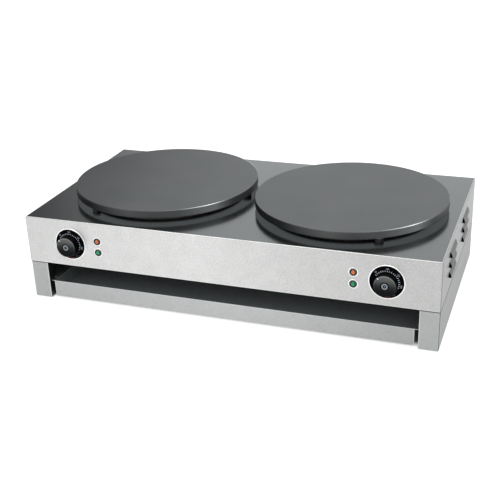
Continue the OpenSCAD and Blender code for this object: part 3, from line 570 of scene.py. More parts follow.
@dataclass(frozen=True)
class CoatedIron:
    """Cast iron, turned flat, under a matt coat with fine pebble and a little cooking wear.

    Its underside glows faintly and is lightened, in place of the light that the bare roof throws back
    at it. Its colour also carries a painted falloff of light from left to right, painted light and
    shade along its rim wall, a painted highlight along its top edge and painted shade on the wall's
    lower lip.
    """

    name: str
    centre: Span
    radius: float
    heights: Span
    tint: Colour = (0.054, 0.0575, 0.059)
    worn: Colour = (0.072, 0.0755, 0.077)
    # Painted light: a falloff along x, light and shade round the rim wall, a highlight along the top
    # edge, shade on the lower lip and light on the underside.
    tones: tuple[Span, ...] = ((-0.40, 0.52), (-0.20, 0.86), (0.0, 1.0), (0.30, 1.02))
    wall_gains: tuple[Span, ...] = (
        (-0.5, 0.1), (-0.3, 0.42), (0.0, 0.8), (0.25, 0.62), (0.5, 0.85), (0.8, 2.1), (0.92, 0.55)
    )
    edge_gains: tuple[Span, ...] = ((0.2, 1.0), (0.5, 2.0), (0.76, 7.5), (0.88, 1.8), (1.0, 1.0))
    groove_pitch: float = 0.0016
    lip_gain: float = 0.8
    under_gain: float = 3.0
    under_glow: float = 0.27
    glow_tint: Colour = (0.9, 0.97, 1.0)
    pebble_scale: float = 900.0
    patch_scale: float = 9.0
    groove_share: float = 0.35
    patch_roughness: Span = (0.22, 0.27)
    pebble_roughness: Span = (0.14, 0.19)
    edge_polish: float = 0.14
    gloss: float = 0.18

    def material(self) -> bpy.types.Material:
        """Builds the plate's material.

        Returns:
            The material.
        """
        skin = Skin(self.name, Specular_IOR_Level=self.gloss, Emission_Strength=self.under_glow)
        low, high = self.heights
        pebble = skin.noise(self.pebble_scale, detail=3.0)
        patch = skin.noise(self.patch_scale, detail=6.0)
        radius = skin.distance(skin.x, skin.y, self.centre)
        turns = skin.math("SINE", skin.math("MULTIPLY", radius, math.tau / self.groove_pitch))
        grooves = skin.remap(turns, -1.0, 1.0, 0.0, self.groove_share)
        relief = skin.math("ADD", skin.spread(pebble, 0.0, 1 - self.groove_share), grooves)
        colour = skin.mix(skin.blend(patch, pebble), self.tint, self.worn)
        # Painted falloff of light along x.
        colour = skin.times(colour, skin.profile(skin.x, self.tones))
        # Painted light and shade along the rim wall, by where it stands round the plate.
        aside = skin.math("SUBTRACT", skin.x, self.centre[0])
        around = skin.math("DIVIDE", aside, self.radius)
        wall = skin.step(radius, self.radius - 0.0012, self.radius - 0.0002)
        colour = skin.gained(colour, wall, skin.profile(around, self.wall_gains))
        # Painted highlight along the top edge.
        turn = skin.within(radius, (self.radius - 0.0013, self.radius - 0.0003), 0.0002)
        edge = skin.math("MULTIPLY", turn, skin.step(skin.z, high - 0.0016, high - 0.0012))
        colour = skin.gained(colour, edge, skin.profile(around, self.edge_gains))
        # Painted shade on the wall's lower lip.
        lip = skin.math("MULTIPLY", wall, skin.step(skin.z, low + 0.0020, low + 0.0012))
        colour = skin.gained(colour, lip, self.lip_gain)
        # Painted light: the underside glows and is lightened.
        below = skin.math("SUBTRACT", skin.step(skin.z, low + 0.0008, low + 0.0003), wall)
        skin.set(Emission_Color=skin.mix(below, BLACK, self.glow_tint))
        colour = skin.gained(colour, below, self.under_gain)
        patchy = skin.spread(patch, *self.patch_roughness)
        matt = skin.math("ADD", patchy, skin.spread(pebble, *self.pebble_roughness))
        rough = skin.math("SUBTRACT", matt, skin.remap(edge, 0.0, 1.0, 0.0, self.edge_polish))
        return skin.finished(colour, rough, relief, depth=0.00010, strength=0.22)


@dataclass(frozen=True)
class Moulding:
    """Moulded plastic, rubber, ceramic or fibre: a tint with mottling and a pebbled skin."""

    name: str
    tint: Colour
    roughness: Span = (0.30, 0.42)
    mottle: float = 0.15
    mottle_scale: float = 60.0
    pebble_scale: float = 1500.0
    pebble_depth: float = 0.00004
    coat: float = 0.0
    gloss: float = 0.5

    def material(self) -> bpy.types.Material:
        """Builds the moulding's material.

        Returns:
            The material.
        """
        skin = Skin(self.name, Coat_Weight=self.coat, Coat_Roughness=0.08)
        skin.set(Specular_IOR_Level=self.gloss)
        mottle = skin.noise(self.mottle_scale, detail=5.0)
        pebble = skin.noise(self.pebble_scale, detail=2.0)
        colour = skin.tinted(mottle, self.tint, 1 - self.mottle)
        return skin.finished(colour, skin.spread(mottle, *self.roughness), pebble, self.pebble_depth)


@dataclass(frozen=True)
class TurnedMetal:
    """Plated, drawn or turned metal with a fine skin and small tarnished spots."""

    name: str
    tint: Colour
    roughness: Span = (0.22, 0.38)
    tarnish: Colour = (0.32, 0.30, 0.27)
    tarnish_share: float = 0.35
    spots: Span = (0.52, 0.75)
    spot_scale: float = 260.0
    grain_scale: float = 3000.0

    def material(self) -> bpy.types.Material:
        """Builds the metal's material.

        Returns:
            The material.
        """
        skin = Skin(self.name, Metallic=1.0)
        fine = skin.noise(self.grain_scale, detail=2.0)
        spots = skin.noise(self.spot_scale, detail=6.0)
        mask = skin.remap(spots, *self.spots, 0.0, self.tarnish_share)
        colour = skin.mix(mask, self.tint, self.tarnish)
        return skin.finished(colour, skin.spread(fine, *self.roughness), fine, FINE)


@dataclass(frozen=True)
class KnobPlastic:
    """Black moulded knob with a satin face whose colour carries painted light: paler towards its top, a
    painted highlight on its rim, painted shade in the well round the insert with a painted glint at the
    well's lower edge, and its side painted near black as shade.
    """

    name: str
    centre: Span
    radius: float
    face_y: float
    well_radius: float
    # Painted light: the face runs from a shaded tint low down to a lit tint at the top.
    low_tint: Colour = (0.003, 0.0035, 0.004)
    high_tint: Colour = (0.090, 0.091, 0.092)
    shades: tuple[Span, ...] = ((-0.5, 0.0), (0.0, 0.15), (0.4, 0.54), (0.7, 0.88), (1.0, 0.95))
    rim_gain: float = 1.7
    side_gain: float = 0.02
    well_gain: float = 0.06
    glint_gain: float = 1.6
    glint_share: float = 0.55
    mottle_scale: float = 700.0
    roughness: Span = (0.34, 0.44)
    gloss: float = 0.02

    def material(self) -> bpy.types.Material:
        """Builds the knob's material.

        Returns:
            The material.
        """
        skin = Skin(self.name, Specular_IOR_Level=self.gloss)
        mottle = skin.noise(self.mottle_scale, detail=3.0)
        level = self.centre[1]
        # Painted light: paler towards the top.
        above = skin.math("DIVIDE", skin.math("SUBTRACT", skin.z, level), self.radius)
        blend = skin.math("ADD", skin.profile(above, self.shades), skin.spread(mottle, 0.0, 0.05))
        colour = skin.mix(blend, self.low_tint, self.high_tint)
        # Painted highlight on the face's rim.
        reach = skin.distance(skin.across(), skin.z, self.centre)
        rim = skin.within(reach, (self.radius - 0.0014, self.radius - 0.0004), 0.0003)
        colour = skin.gained(colour, rim, self.rim_gain)
        # Painted shade in the well, with a painted glint at its lower edge.
        well = skin.step(reach, self.well_radius, self.well_radius - 0.0002)
        fall = (
            (level - self.well_radius, self.glint_gain),
            (level - self.well_radius * self.glint_share, self.well_gain),
            (level, self.well_gain),
        )
        colour = skin.gained(colour, well, skin.profile(skin.z, fall))
        # The side painted near black as shade.
        side = skin.step(skin.y, self.face_y + 0.0010, self.face_y + 0.0018)
        colour = skin.gained(colour, side, self.side_gain)
        return skin.finished(colour, skin.spread(mottle, *self.roughness), mottle, depth=0.00003)


@dataclass(frozen=True)
class InsertMetal:
    """Turned metal with painted shade in the dish round its pip and on its outer edge."""

    name: str
    centre: Span
    radius: float
    tint: Colour = (0.21, 0.245, 0.27)
    dish: Span = (0.20, 0.50)
    dish_gain: float = 0.10
    edge_gain: float = 0.3
    grain_scale: float = 1200.0
    grain_shade: float = 0.8
    roughness: Span = (0.22, 0.34)

    def material(self) -> bpy.types.Material:
        """Builds the insert's material.

        Returns:
            The material.
        """
        skin = Skin(self.name, Metallic=1.0)
        fine = skin.noise(self.grain_scale, detail=3.0)
        reach = skin.distance(skin.across(), skin.z, self.centre)
        colour = skin.tinted(fine, self.tint, self.grain_shade)
        pip, dish = (self.radius * share for share in self.dish)
        # Painted shade in the dish and on the outer edge.
        colour = skin.gained(colour, skin.within(reach, (pip, dish), 0.0002), self.dish_gain)
        edge = skin.step(reach, self.radius - 0.0007, self.radius - 0.0003)
        colour = skin.gained(colour, edge, self.edge_gain)
        return skin.finished(colour, skin.spread(fine, *self.roughness), fine, FINE)


@dataclass(frozen=True)
class LampGlass:
    """Clear coloured plastic of a lamp's lens, lit a little from inside."""

    name: str
    tint: Colour
    centre: Span
    radius: float
    glow: float = 0.06
    # Shape, size and darkness of the painted highlight in the middle and the painted shade outside it.
    slopes: Span = (1.15, 0.85)
    core: Span = (0.80, 1.08)
    dark_share: float = 0.05
    depth_scale: float = 500.0
    roughness: Span = (0.14, 0.22)

    def material(self) -> bpy.types.Material:
        """Builds the lens's material, with a painted highlight in a diamond at its middle and painted
        shade outside it; its glow takes the same colour.

        Returns:
            The material.
        """
        skin = Skin(self.name, Coat_Weight=0.25, Coat_Roughness=0.08, Specular_IOR_Level=0.3)
        depth = skin.noise(self.depth_scale, detail=3.0)
        aside = skin.math("ABSOLUTE", skin.math("SUBTRACT", skin.across(), self.centre[0]))
        above = skin.math("ABSOLUTE", skin.math("SUBTRACT", skin.z, self.centre[1]))
        wide = skin.math("MULTIPLY", aside, self.slopes[0])
        tall = skin.math("MULTIPLY", above, self.slopes[1])
        reach = skin.math("ADD", wide, tall)
        # Painted highlight in the middle, painted shade towards the edge.
        inner, outer = (self.radius * share for share in self.core)
        core = skin.remap(reach, inner, outer, 0.85, 0.0)
        shade = skin.math("ADD", core, skin.spread(depth, 0.0, 0.15, edge=0.35))
        colour = skin.tinted(shade, self.tint, self.dark_share)
        skin.set(Emission_Color=colour, Emission_Strength=self.glow)
        rough = skin.spread(depth, *self.roughness)
        return skin.finished(colour, rough, depth, depth=0.00005, strength=0.2)


@dataclass(frozen=True)
class FloorPaint:
    """White floor that glows a little, so shadows on it stay pale, but not below the machine."""

    name: str
    tint: Colour = (0.35, 0.35, 0.35)
    glow: float = 0.69
    under: Span = (0.40, 0.20)
    soft: float = 0.02
    mottle_scale: float = 3.0
    mottle_shade: float = 0.98

    def material(self) -> bpy.types.Material:
        """Builds the floor's material.

        Returns:
            The material.
        """
        skin = Skin(self.name, Roughness=0.9, Specular_IOR_Level=0.2, Emission_Strength=self.glow)
        mottle = skin.noise(self.mottle_scale, detail=5.0)
        depth = skin.math("ABSOLUTE", skin.y)
        aside = skin.step(skin.across(), self.under[0], self.under[0] + self.soft)
        ahead = skin.step(depth, self.under[1], self.under[1] + self.soft)
        glow = skin.mix(skin.math("MAXIMUM", aside, ahead), BLACK, WHITE)
        colour = skin.tinted(mottle, self.tint, self.mottle_shade)
        skin.set(Base_Color=colour, Emission_Color=glow)
        return skin.material


@dataclass(frozen=True)
class Ink:
    """Printed or filled-in paint of a dial's marks."""

    name: str
    tint: Colour
    grain_scale: float = 900.0
    grain_shade: float = 0.85
    roughness: Span = (0.45, 0.6)

    def material(self) -> bpy.types.Material:
        """Builds the paint's material.

        Returns:
            The material.
        """
        skin = Skin(self.name)
        grainy = skin.noise(self.grain_scale, detail=3.0)
        colour = skin.tinted(grainy, self.tint, self.grain_shade)
        rough = skin.spread(grainy, *self.roughness)
        return skin.finished(colour, rough, grainy, FINE, strength=0.2)


# ---- Mesh helpers ----


def new_piece(
    name: str, work: bmesh.types.BMesh, smooth_angle: float = 35.0
) -> bpy.types.Object:
    """Makes a mesh object from a filled bmesh, and frees the bmesh.

    Args:
        name: The piece's name.
        work: The mesh, in the row frame.
        smooth_angle: Edges flatter than this many degrees are shaded smooth.

    Returns:
        The new object, linked to the scene.
    """
    mesh = bpy.data.meshes.new(name)
    bmesh.ops.recalc_face_normals(work, faces=work.faces)
    limit = math.radians(smooth_angle)
    for face in work.faces:
        face.smooth = True
    for edge in work.edges:
        edge.smooth = len(edge.link_faces) == 2 and edge.calc_face_angle(0.0) < limit
    work.to_mesh(mesh)
    work.free()
    piece = bpy.data.objects.new(name, mesh)
    bpy.context.scene.collection.objects.link(piece)
    return piece


def turned(work: bmesh.types.BMesh, profile: Points, place: Matrix, steps: int = 96) -> None:
    """Adds a turned shape, revolved about the local z axis.

    Args:
        work: The mesh to add to.
        profile: Points as (radius, height), in order around the closed section.
        place: Puts the local shape into the row frame.
        steps: Number of steps around.
    """
    rings = []
    for step in range(steps):
        turn = math.tau * step / steps
        cos_t, sin_t = math.cos(turn), math.sin(turn)
        rings.append(
            [work.verts.new(place @ Vector((r * cos_t, r * sin_t, h))) for r, h in profile]
        )
    count = len(profile)
    for step in range(steps):
        here, there = rings[step], rings[(step + 1) % steps]
        for i in range(count):
            j = (i + 1) % count
            if profile[i][0] == 0.0 and profile[j][0] == 0.0:
                continue
            work.faces.new([here[i], here[j], there[j], there[i]])
    bmesh.ops.remove_doubles(work, verts=work.verts, dist=1e-7)


def prism(
    work: bmesh.types.BMesh, outline: Points, low: float, high: float, place: Matrix
) -> None:
    """Adds an upright prism over a flat outline.

    Args:
        work: The mesh to add to.
        outline: Corners in the local xy plane.
        low: Height of its bottom.
        high: Height of its top.
        place: Puts the local shape into the row frame.
    """
    bottom = [work.verts.new(place @ Vector((x, y, low))) for x, y in outline]
    top = [work.verts.new(place @ Vector((x, y, high))) for x, y in outline]
    work.faces.new(list(reversed(bottom)))
    work.faces.new(top)
    for i in range(len(outline)):
        j = (i + 1) % len(outline)
        work.faces.new([bottom[i], bottom[j], top[j], top[i]])


def bar(width: float, inner: float, outer: float) -> Points:
    """Outline of an upright bar between two heights."""
    half = width / 2
    return [(-half, inner), (half, inner), (half, outer), (-half, outer)]


def facing(at: Vector, out: Vector) -> Matrix:
    """Frame whose z is along a direction, and its y upwards, or to the back where z is upright.

    Args:
        at: The frame's origin.
        out: The direction.

    Returns:
        The frame.
    """
    z = out.normalized()
    y = Vector((0, 0, 1)) if abs(z.z) < 0.5 else Vector((0, 1, 0))
    x = y.cross(z)
    return Matrix.Translation(at) @ Matrix((x, y, z)).transposed().to_4x4()


def spun(face: Matrix, angle: float) -> Matrix:
    """A face's frame, turned clockwise by some degrees."""
    return face @ Matrix.Rotation(-math.radians(angle), 4, "Z")


class Disc:
    """Place and size of a round piece that faces the front."""

    def __init__(self, low: Vector, high: Vector) -> None:
        """Measures the piece.

        Args:
            low: Lowest corner of its box.
            high: Highest corner of its box.
        """
        self.front_y = low.y
        self.radius, self.length = (high.x - low.x) / 2, high.y - low.y
        self.centre = ((low.x + high.x) / 2, (low.z + high.z) / 2)

    def face(self, y: float | None = None) -> Matrix:
        """Frame on the disc's axis, at its front face or at another y."""
        x, z = self.centre
        return facing(Vector((x, self.front_y if y is None else y, z)), FRONT)


def dress(objects: Iterable[bpy.types.Object], material: bpy.types.Material) -> None:
    """Gives each object one material in place of those it has.

    Args:
        objects: The objects.
        material: The material.
    """
    for item in objects:
        item.data.materials.clear()
        item.data.materials.append(material)


def fit_piece(
    piece: bpy.types.Object, material: bpy.types.Material, slot: str, body: str, *stands_for: str
) -> None:
    """Dresses a new piece and ties it to the frame.

    Args:
        piece: The new piece.
        material: Its finish.
        slot: Not used.
        body: The body that it rides on.
        *stands_for: CAD nodes that it replaces.
    """
    dress([piece], material)
    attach(piece, body)
    if stands_for:
        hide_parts(*stands_for)


def solids_of(item: bpy.types.Object) -> list[tuple[Vector, Vector]]:
    """Boxes of a node's separate solids.

    Args:
        item: A CAD node's object.

    Returns:
        The lowest and highest corner of each solid, in the order of its vertices.
    """
    work = bmesh.new()
    work.from_mesh(item.data)
    bmesh.ops.remove_doubles(work, verts=work.verts, dist=1e-6)
    seen: set[int] = set()
    boxes = []
    for start in work.verts:
        if start.index in seen:
            continue
        seen.add(start.index)
        todo, found = [start], []
        while todo:
            vert = todo.pop()
            found.append(vert.co.copy())
            for edge in vert.link_edges:
                other = edge.other_vert(vert)
                if other.index not in seen:
                    seen.add(other.index)
                    todo.append(other)
        low, high = (Vector([pick(p[i] for p in found) for i in range(3)]) for pick in (min, max))
        boxes.append((low, high))
    work.free()
    return boxes


def carve(piece: bpy.types.Object, cutter: bpy.types.Object) -> None:
    """Cuts one mesh out of another and removes the cutter.

    Args:
        piece: The mesh to cut.
        cutter: The mesh to take out of it.
    """
    cut = piece.modifiers.new("recess", "BOOLEAN")
    cut.operation = "DIFFERENCE"
    cut.solver = "EXACT"
    cut.object = cutter
    graph = bpy.context.evaluated_depsgraph_get()
    carved = bpy.data.meshes.new_from_object(piece.evaluated_get(graph))
    piece.modifiers.clear()
    piece.data = carved
    bpy.data.objects.remove(cutter)


# ---- Studio ----


@dataclass
class Studio:
    """Camera, soft lights and the pale floor."""

    eye: Vector = field(default_factory=lambda: Vector((0.63174, -1.75536, 0.90503)))
    azimuth: float = 20.38
    elevation: float = 24.37
    roll: float = -2.18
    focal_pixels: float = 928.0
    frame_pixels: float = 500.0
    sensor: float = 36.0
    floor_size: float = 60.0
    sun_from: Vector = field(default_factory=lambda: Vector((0.12, -0.42, 0.90)))
    sun_power: float = 3.4
    sun_width: float = 85.0
    left_behind: Colour = (0.126, 0.143, 0.159)
    right_behind: Colour = (1.02, 1.04, 1.05)
    behind: tuple[Span, ...] = ((0.14, 0.155), (0.28, 0.46), (0.40, 0.82), (0.50, 1.06))
    behind_tint: Colour = (0.98, 1.0, 1.01)
    left_ahead: Colour = (1.25, 1.25, 1.23)
    right_ahead: Colour = (0.24, 0.25, 0.25)
    horizon: float = 1.02
    behind_x: Span = (-0.60, -0.10)
    ahead_x: Span = (-0.60, 0.20)
    turn_y: Span = (0.1, -0.4)
    horizon_z: Span = (0.12, 0.08)
    view_depth: float = 100.0

    def camera(self) -> None:
        """Sets up the camera, ahead of the machine, to its right and above it."""
        azimuth, elevation = math.radians(self.azimuth), math.radians(self.elevation)
        roll = math.radians(self.roll)
        level = Vector((math.cos(azimuth), math.sin(azimuth), 0.0))
        ahead = Vector((-math.sin(azimuth), math.cos(azimuth), 0.0))
        forward = ahead * math.cos(elevation) + DOWN * math.sin(elevation)
        above = level.cross(forward)
        right = level * math.cos(roll) + above * math.sin(roll)
        upward = -level * math.sin(roll) + above * math.cos(roll)
        data = bpy.data.cameras.new("front_camera")
        data.sensor_width = self.sensor
        data.lens = self.focal_pixels / self.frame_pixels * self.sensor
        data.clip_end = self.view_depth
        camera = bpy.data.objects.new("front_camera", data)
        turn = Matrix((right, upward, -forward)).transposed()
        camera.matrix_world = Matrix.Translation(self.eye) @ turn.to_4x4()
        bpy.context.scene.collection.objects.link(camera)
        bpy.context.scene.camera = camera

    def floor(self) -> None:
        """Lays the pale floor."""
        work = bmesh.new()
        bmesh.ops.create_grid(work, x_segments=8, y_segments=8, size=self.floor_size / 2)
        floor = new_piece("floor", work)
        dress([floor], FloorPaint("floor_paint").material())

    def sun(self) -> None:
        """Hangs the one broad, soft light, over the front."""
        data = bpy.data.lights.new("soft_sun", "SUN")
        data.energy = self.sun_power
        data.angle = math.radians(self.sun_width)
        light = bpy.data.objects.new("soft_sun", data)
        light.rotation_euler = self.sun_from.to_track_quat("Z", "Y").to_euler()
        bpy.context.scene.collection.objects.link(light)

    def room(self) -> None:
        """Sets the room's light: dark at the left behind, pale at the left in front, white low down."""
        world = bpy.data.worlds.new("room")
        world.use_nodes = True
        sky = Graph(world.node_tree, "Generated")
        levels = [(at, tuple(level * part for part in self.behind_tint)) for at, level in self.behind]
        stops = [(0.0, self.left_behind), *levels, (1.0, self.right_behind)]
        behind = sky.ramp(sky.step(sky.x, *self.behind_x), stops)
        ahead = sky.mix(sky.step(sky.x, *self.ahead_x), self.left_ahead, self.right_ahead)
        walls = sky.choose(sky.step(sky.y, *self.turn_y), behind, ahead)
        low = (self.horizon, self.horizon, self.horizon, 1.0)
        colour = sky.choose(sky.step(sky.z, *self.horizon_z), walls, low)
        sky.feed(sky.tree.nodes["Background"].inputs["Color"], colour)
        bpy.context.scene.world = world
        bpy.context.scene.view_settings.view_transform = "Standard"
        bpy.context.scene.view_settings.look = "None"

    def build(self) -> None:
        """Makes the whole studio."""
        self.camera()
        self.floor()
        self.sun()
        self.room()


# ---- Sub-assemblies ----


@dataclass
class Assembly:
    """A part of the machine, with the frame's nodes by name."""

    nodes: dict[str, bpy.types.Object]

    def paint(self, material: bpy.types.Material, *names: str) -> None:
        """Gives CAD nodes a material.

        Args:
            material: The material.
            *names: The nodes' names; one that starts with "_" stands for both sides' nodes.
        """
        for name in names:
            starts = [side.label for side in Side] if name.startswith("_") else [""]
            dress([self.nodes[start + name] for start in starts], material)


@dataclass
class Casing(Assembly):
    """Housing, base, runners and tray: the sheet metal."""

    edge: float = 0.0014
    corner: float = 0.0075
    tray_sheet: float = 0.001
    tray_flange: float = 0.007
    louvres: Louvres = Louvres()

    def cover_bands(self) -> tuple[Band, ...]:
        """Painted light on the cover's folds: a painted highlight on the lower hem and on the side
        bend, painted shade on the front bend and below the side bend, and a dark joint beside each
        corner, painted as the seam and its shadow.

        Returns:
            The bands.
        """
        low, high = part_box("housing_cover")
        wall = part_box("rear_panel")[1].x + 0.0004
        side_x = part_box("right_side_frame")[1].x
        deep = (low.y + 0.003, high.y)
        bend = (high.z - 0.0018, high.z)
        joint = (low.y + 0.0004, low.y + self.corner)
        # In order: the louvres' painted slit shade, the hem's painted highlight, the front bend's
        # painted shade, the side bend's painted highlight, a painted shade line below it, and the
        # corner joint painted as seam and shadow.
        return (
            *self.louvres.slits(side_x),
            Band(1.18, x=(0.0, wall - 0.001), z=(low.z, low.z + self.edge)),
            Band(0.75, None, (low.y - 0.001, low.y + 0.003), bend, 0.0006),
            Band(1.1, (side_x - 0.003, side_x), deep, bend, 0.0006),
            Band(0.5, (side_x - 0.0006, side_x), deep, (high.z - 0.0044, high.z - 0.0028)),
            Band(0.26, (wall, high.x), joint, (low.z, high.z - 0.004)),
        )

    def leg_bands(self) -> tuple[Band, ...]:
        """Painted light on a side frame: a dark seam line on its top painted as the joint and its
        shadow, painted shade over its outer face, its front corner and the seam above it, a painted
        highlight on its inner front edge, and painted shade on its inner faces.

        Returns:
            The bands.
        """
        low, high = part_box("right_side_frame")
        outer = high.x - 0.0005
        # In order: the top's seam line, shade over the outer face, shade on the seam above it, shade on
        # the front corner, a highlight on the inner front edge and shade on the inner faces, all
        # painted.
        return (
            Band(0.35, z=(high.z - self.edge, high.z)),
            Band(0.58, x=(outer, high.x)),
            Band(0.12, x=(outer, high.x), z=(high.z - 3.2 * self.edge, high.z)),
            Band(0.35, x=(outer, high.x), y=(low.y, low.y + 0.7 * self.corner)),
            Band(1.5, x=(low.x - 0.001, low.x + 0.0022), y=(low.y - 0.001, low.y + 0.001)),
            Band(0.22, (low.x - 0.001, outer), (low.y + SHEET * 0.8, high.y - SHEET * 1.1)),
        )

    def tray_bands(self) -> tuple[Band, ...]:
        """Painted highlights on the tray's folds: its rim and its upright ends.

        Returns:
            The bands.
        """
        low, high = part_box("drip_tray")
        end = high.x - self.tray_flange
        return (
            Band(1.22, z=(high.z - self.edge, high.z)),
            Band(1.25, x=(end - 0.0016, end + 0.001), y=(low.y - 0.001, low.y + 0.0009)),
        )

    def tray_inside(self) -> tuple[Span, Span, Span]:
        """Box that holds the tray's inner faces and none of its outer ones.

        Returns:
            Spans of x, y and z.
        """
        low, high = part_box("drip_tray")
        skin = self.tray_sheet * 0.8
        inner_x = high.x - self.tray_flange - skin
        return ((0.0, inner_x), (low.y + skin, high.y - skin), (low.z + skin, high.z + skin))

    def dress(self) -> None:
        """Gives every sheet its steel."""
        low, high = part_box("housing_cover")
        side_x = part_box("right_side_frame")[1].x
        cover = HousingSteel("cover_steel", high.z, side_x, low.y, self.louvres, self.cover_bands())
        panel = BrushedSteel("panel_steel", (0.56, 0.565, 0.56))
        # The frame's and the tray's tints sit below the cover's fascia as painted shade near the floor;
        # the tray's x profile is a painted falloff of light.
        frame = BrushedSteel(
            "frame_steel", (0.385, 0.395, 0.395), roughness=(0.32, 0.44), bands=self.leg_bands()
        )
        skirt = BrushedSteel("skirt_steel", (0.42, 0.43, 0.43), roughness=(0.32, 0.44))
        tray = BrushedSteel(
            "tray_steel",
            (0.475, 0.485, 0.485),
            roughness=(0.34, 0.46),
            bands=self.tray_bands(),
            film=self.tray_inside(),
            tones=((-0.38, 0.88), (0.0, 1.0), (0.15, 0.95), (0.38, 0.76)),
        )
        inner = BrushedSteel("inner_steel", (0.42, 0.43, 0.44), Grain.NONE, (0.42, 0.56), 0.15)
        rubber = Moulding("foot_rubber", (0.035, 0.035, 0.037), (0.6, 0.8))
        self.paint(cover.material(), "housing_cover")
        self.paint(panel.material(), "rear_panel")
        self.paint(frame.material(), "_side_frame")
        self.paint(skirt.material(), "rear_skirt")
        self.paint(tray.material(), "drip_tray")
        self.paint(inner.material(), "floor_pan", "pan_front_strip", "_tray_runner")
        self.paint(rubber.material(), "foot_pads")


@dataclass
class Griddles(Assembly):
    """The two plates and what is clamped under them."""

    glint_height: float = 0.0035

    def dress(self) -> None:
        """Gives the plates their coating and the parts below them their metals."""
        for side in Side:
            low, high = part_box(f"{side.label}_griddle_plate")
            middle, radius = (low + high) / 2, (high.x - low.x) / 2
            heights = (low.z, high.z)
            coat = CoatedIron(f"{side.label}_plate_coating", (middle.x, middle.y), radius, heights)
            self.paint(coat.material(), f"{side.label}_griddle_plate")
        # The clamped parts and the standoffs are tinted near black as painted shade under the plates,
        # and each standoff carries a painted glint at its top.
        zinc = TurnedMetal("plated_steel", (0.055, 0.055, 0.055), (0.30, 0.45))
        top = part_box("right_plate_standoffs")[1].z
        glint = (Band(6.0, z=(top - self.glint_height, top)),)
        post = BrushedSteel("post_steel", (0.06, 0.06, 0.06), Grain.NONE, (0.30, 0.45), bands=glint)
        sheath = TurnedMetal("element_sheath", (0.34, 0.29, 0.24), (0.35, 0.5))
        fibre = Moulding("insulation_fibre", (0.80, 0.78, 0.70), (0.9, 1.0), 0.2, 400.0, 900.0, 0.0004)
        bush = Moulding("bush_ceramic", (0.85, 0.83, 0.77), (0.15, 0.25), coat=0.5)
        self.paint(zinc.material(), "_clamp_plate", "_standoff_screws", "clamp_studs", "clamp_nuts")
        self.paint(post.material(), "_plate_standoffs")
        self.paint(sheath.material(), "_heating_element")
        self.paint(fibre.material(), "_insulation_disc")
        self.paint(bush.material(), "terminal_bushes")


@dataclass
class Electrics(Assembly):
    """Thermostats, wires, terminals and the gland."""

    def dress(self) -> None:
        """Gives every electrical piece its finish."""
        zinc = TurnedMetal("shaft_steel", (0.62, 0.62, 0.60))
        brass = TurnedMetal("terminal_brass", (0.78, 0.60, 0.26))
        copper = TurnedMetal("capillary_copper", (0.80, 0.45, 0.30))
        case = Moulding("thermostat_case", (0.62, 0.55, 0.40), (0.35, 0.5))
        block = Moulding("block_plastic", (0.78, 0.75, 0.66), (0.35, 0.5))
        sleeve = Moulding("wire_sleeve", (0.32, 0.11, 0.07), (0.6, 0.8), 0.3, 900.0)
        gland = Moulding("gland_plastic", (0.045, 0.045, 0.05), (0.38, 0.5))
        self.paint(zinc.material(), "thermostat_screws", "_thermostat_shaft")
        self.paint(brass.material(), "terminal_screws", "earth_stud", "earth_nut")
        self.paint(copper.material(), "_sensing_bulb")
        self.paint(case.material(), "lamp_bodies", "_thermostat_body")
        self.paint(block.material(), "terminal_block")
        self.paint(sleeve.material(), "_wiring")
        self.paint(gland.material(), "lamp_nuts", "cable_gland", "gland_nut", "gland_locknut")


@dataclass
class PanScrews(Assembly):
    """Pan-head screws with a cross recess, in place of one node of plain ones."""

    node: str
    out: Vector
    finish: bpy.types.Material
    shank: float = 0.0020
    head_height: float = 0.0022
    head_edge: float = 0.0009
    recess_width: float = 0.0009
    recess_length: float = 0.0042
    recess_depth: float = 0.0013
    cutter_rise: float = 0.001

    def build(self) -> None:
        """Turns each screw and cuts its recess."""
        axis = 1 if abs(self.out.y) > 0.5 else 2
        half, reach = self.recess_width / 2, self.recess_length / 2
        arm = [(half, half), (half, reach), (-half, reach)]
        cross = [spot for x, y in ((1, 0), (0, 1), (-1, 0), (0, -1)) for spot in self.turn(arm, x, y)]
        edge = self.head_edge
        screws, cutters = bmesh.new(), bmesh.new()
        for low, high in solids_of(self.nodes[self.node]):
            end = (low + high) / 2
            end[axis] = high[axis] if self.out[axis] > 0 else low[axis]
            place, radius = facing(end, self.out), (high.x - low.x) / 2
            length = high[axis] - low[axis]
            profile = [
                (0.0, -length),
                (self.shank, -length),
                (self.shank, -self.head_height),
                (radius, -self.head_height),
                (radius, -edge),
                (radius * 0.93, -edge * 0.45),
                (radius * 0.78, -edge * 0.12),
                (radius * 0.5, 0.0),
                (0.0, 0.0),
            ]
            turned(screws, profile, place, steps=48)
            prism(cutters, cross, -self.recess_depth, self.cutter_rise, place)
        piece = new_piece(f"cross_{self.node}", screws)
        carve(piece, new_piece("recess_cutter", cutters))
        fit_piece(piece, self.finish, "zinc_steel", "root", self.node)

    @staticmethod
    def turn(points: Points, cos_t: int, sin_t: int) -> Points:
        """Turns points about the middle by an angle with the given cosine and sine."""
        return [(x * cos_t - y * sin_t, x * sin_t + y * cos_t) for x, y in points]


@dataclass(frozen=True)
class DialFinishes:
    """Materials that both dials share, and the radius of a knob's face."""

    face_radius: float
    knob: bpy.types.Material
    ring: bpy.types.Material
    insert: bpy.types.Material
    trim: bpy.types.Material
    inlay: bpy.types.Material
    white: bpy.types.Material
    grey: bpy.types.Material
    faded: bpy.types.Material
    red: bpy.types.Material


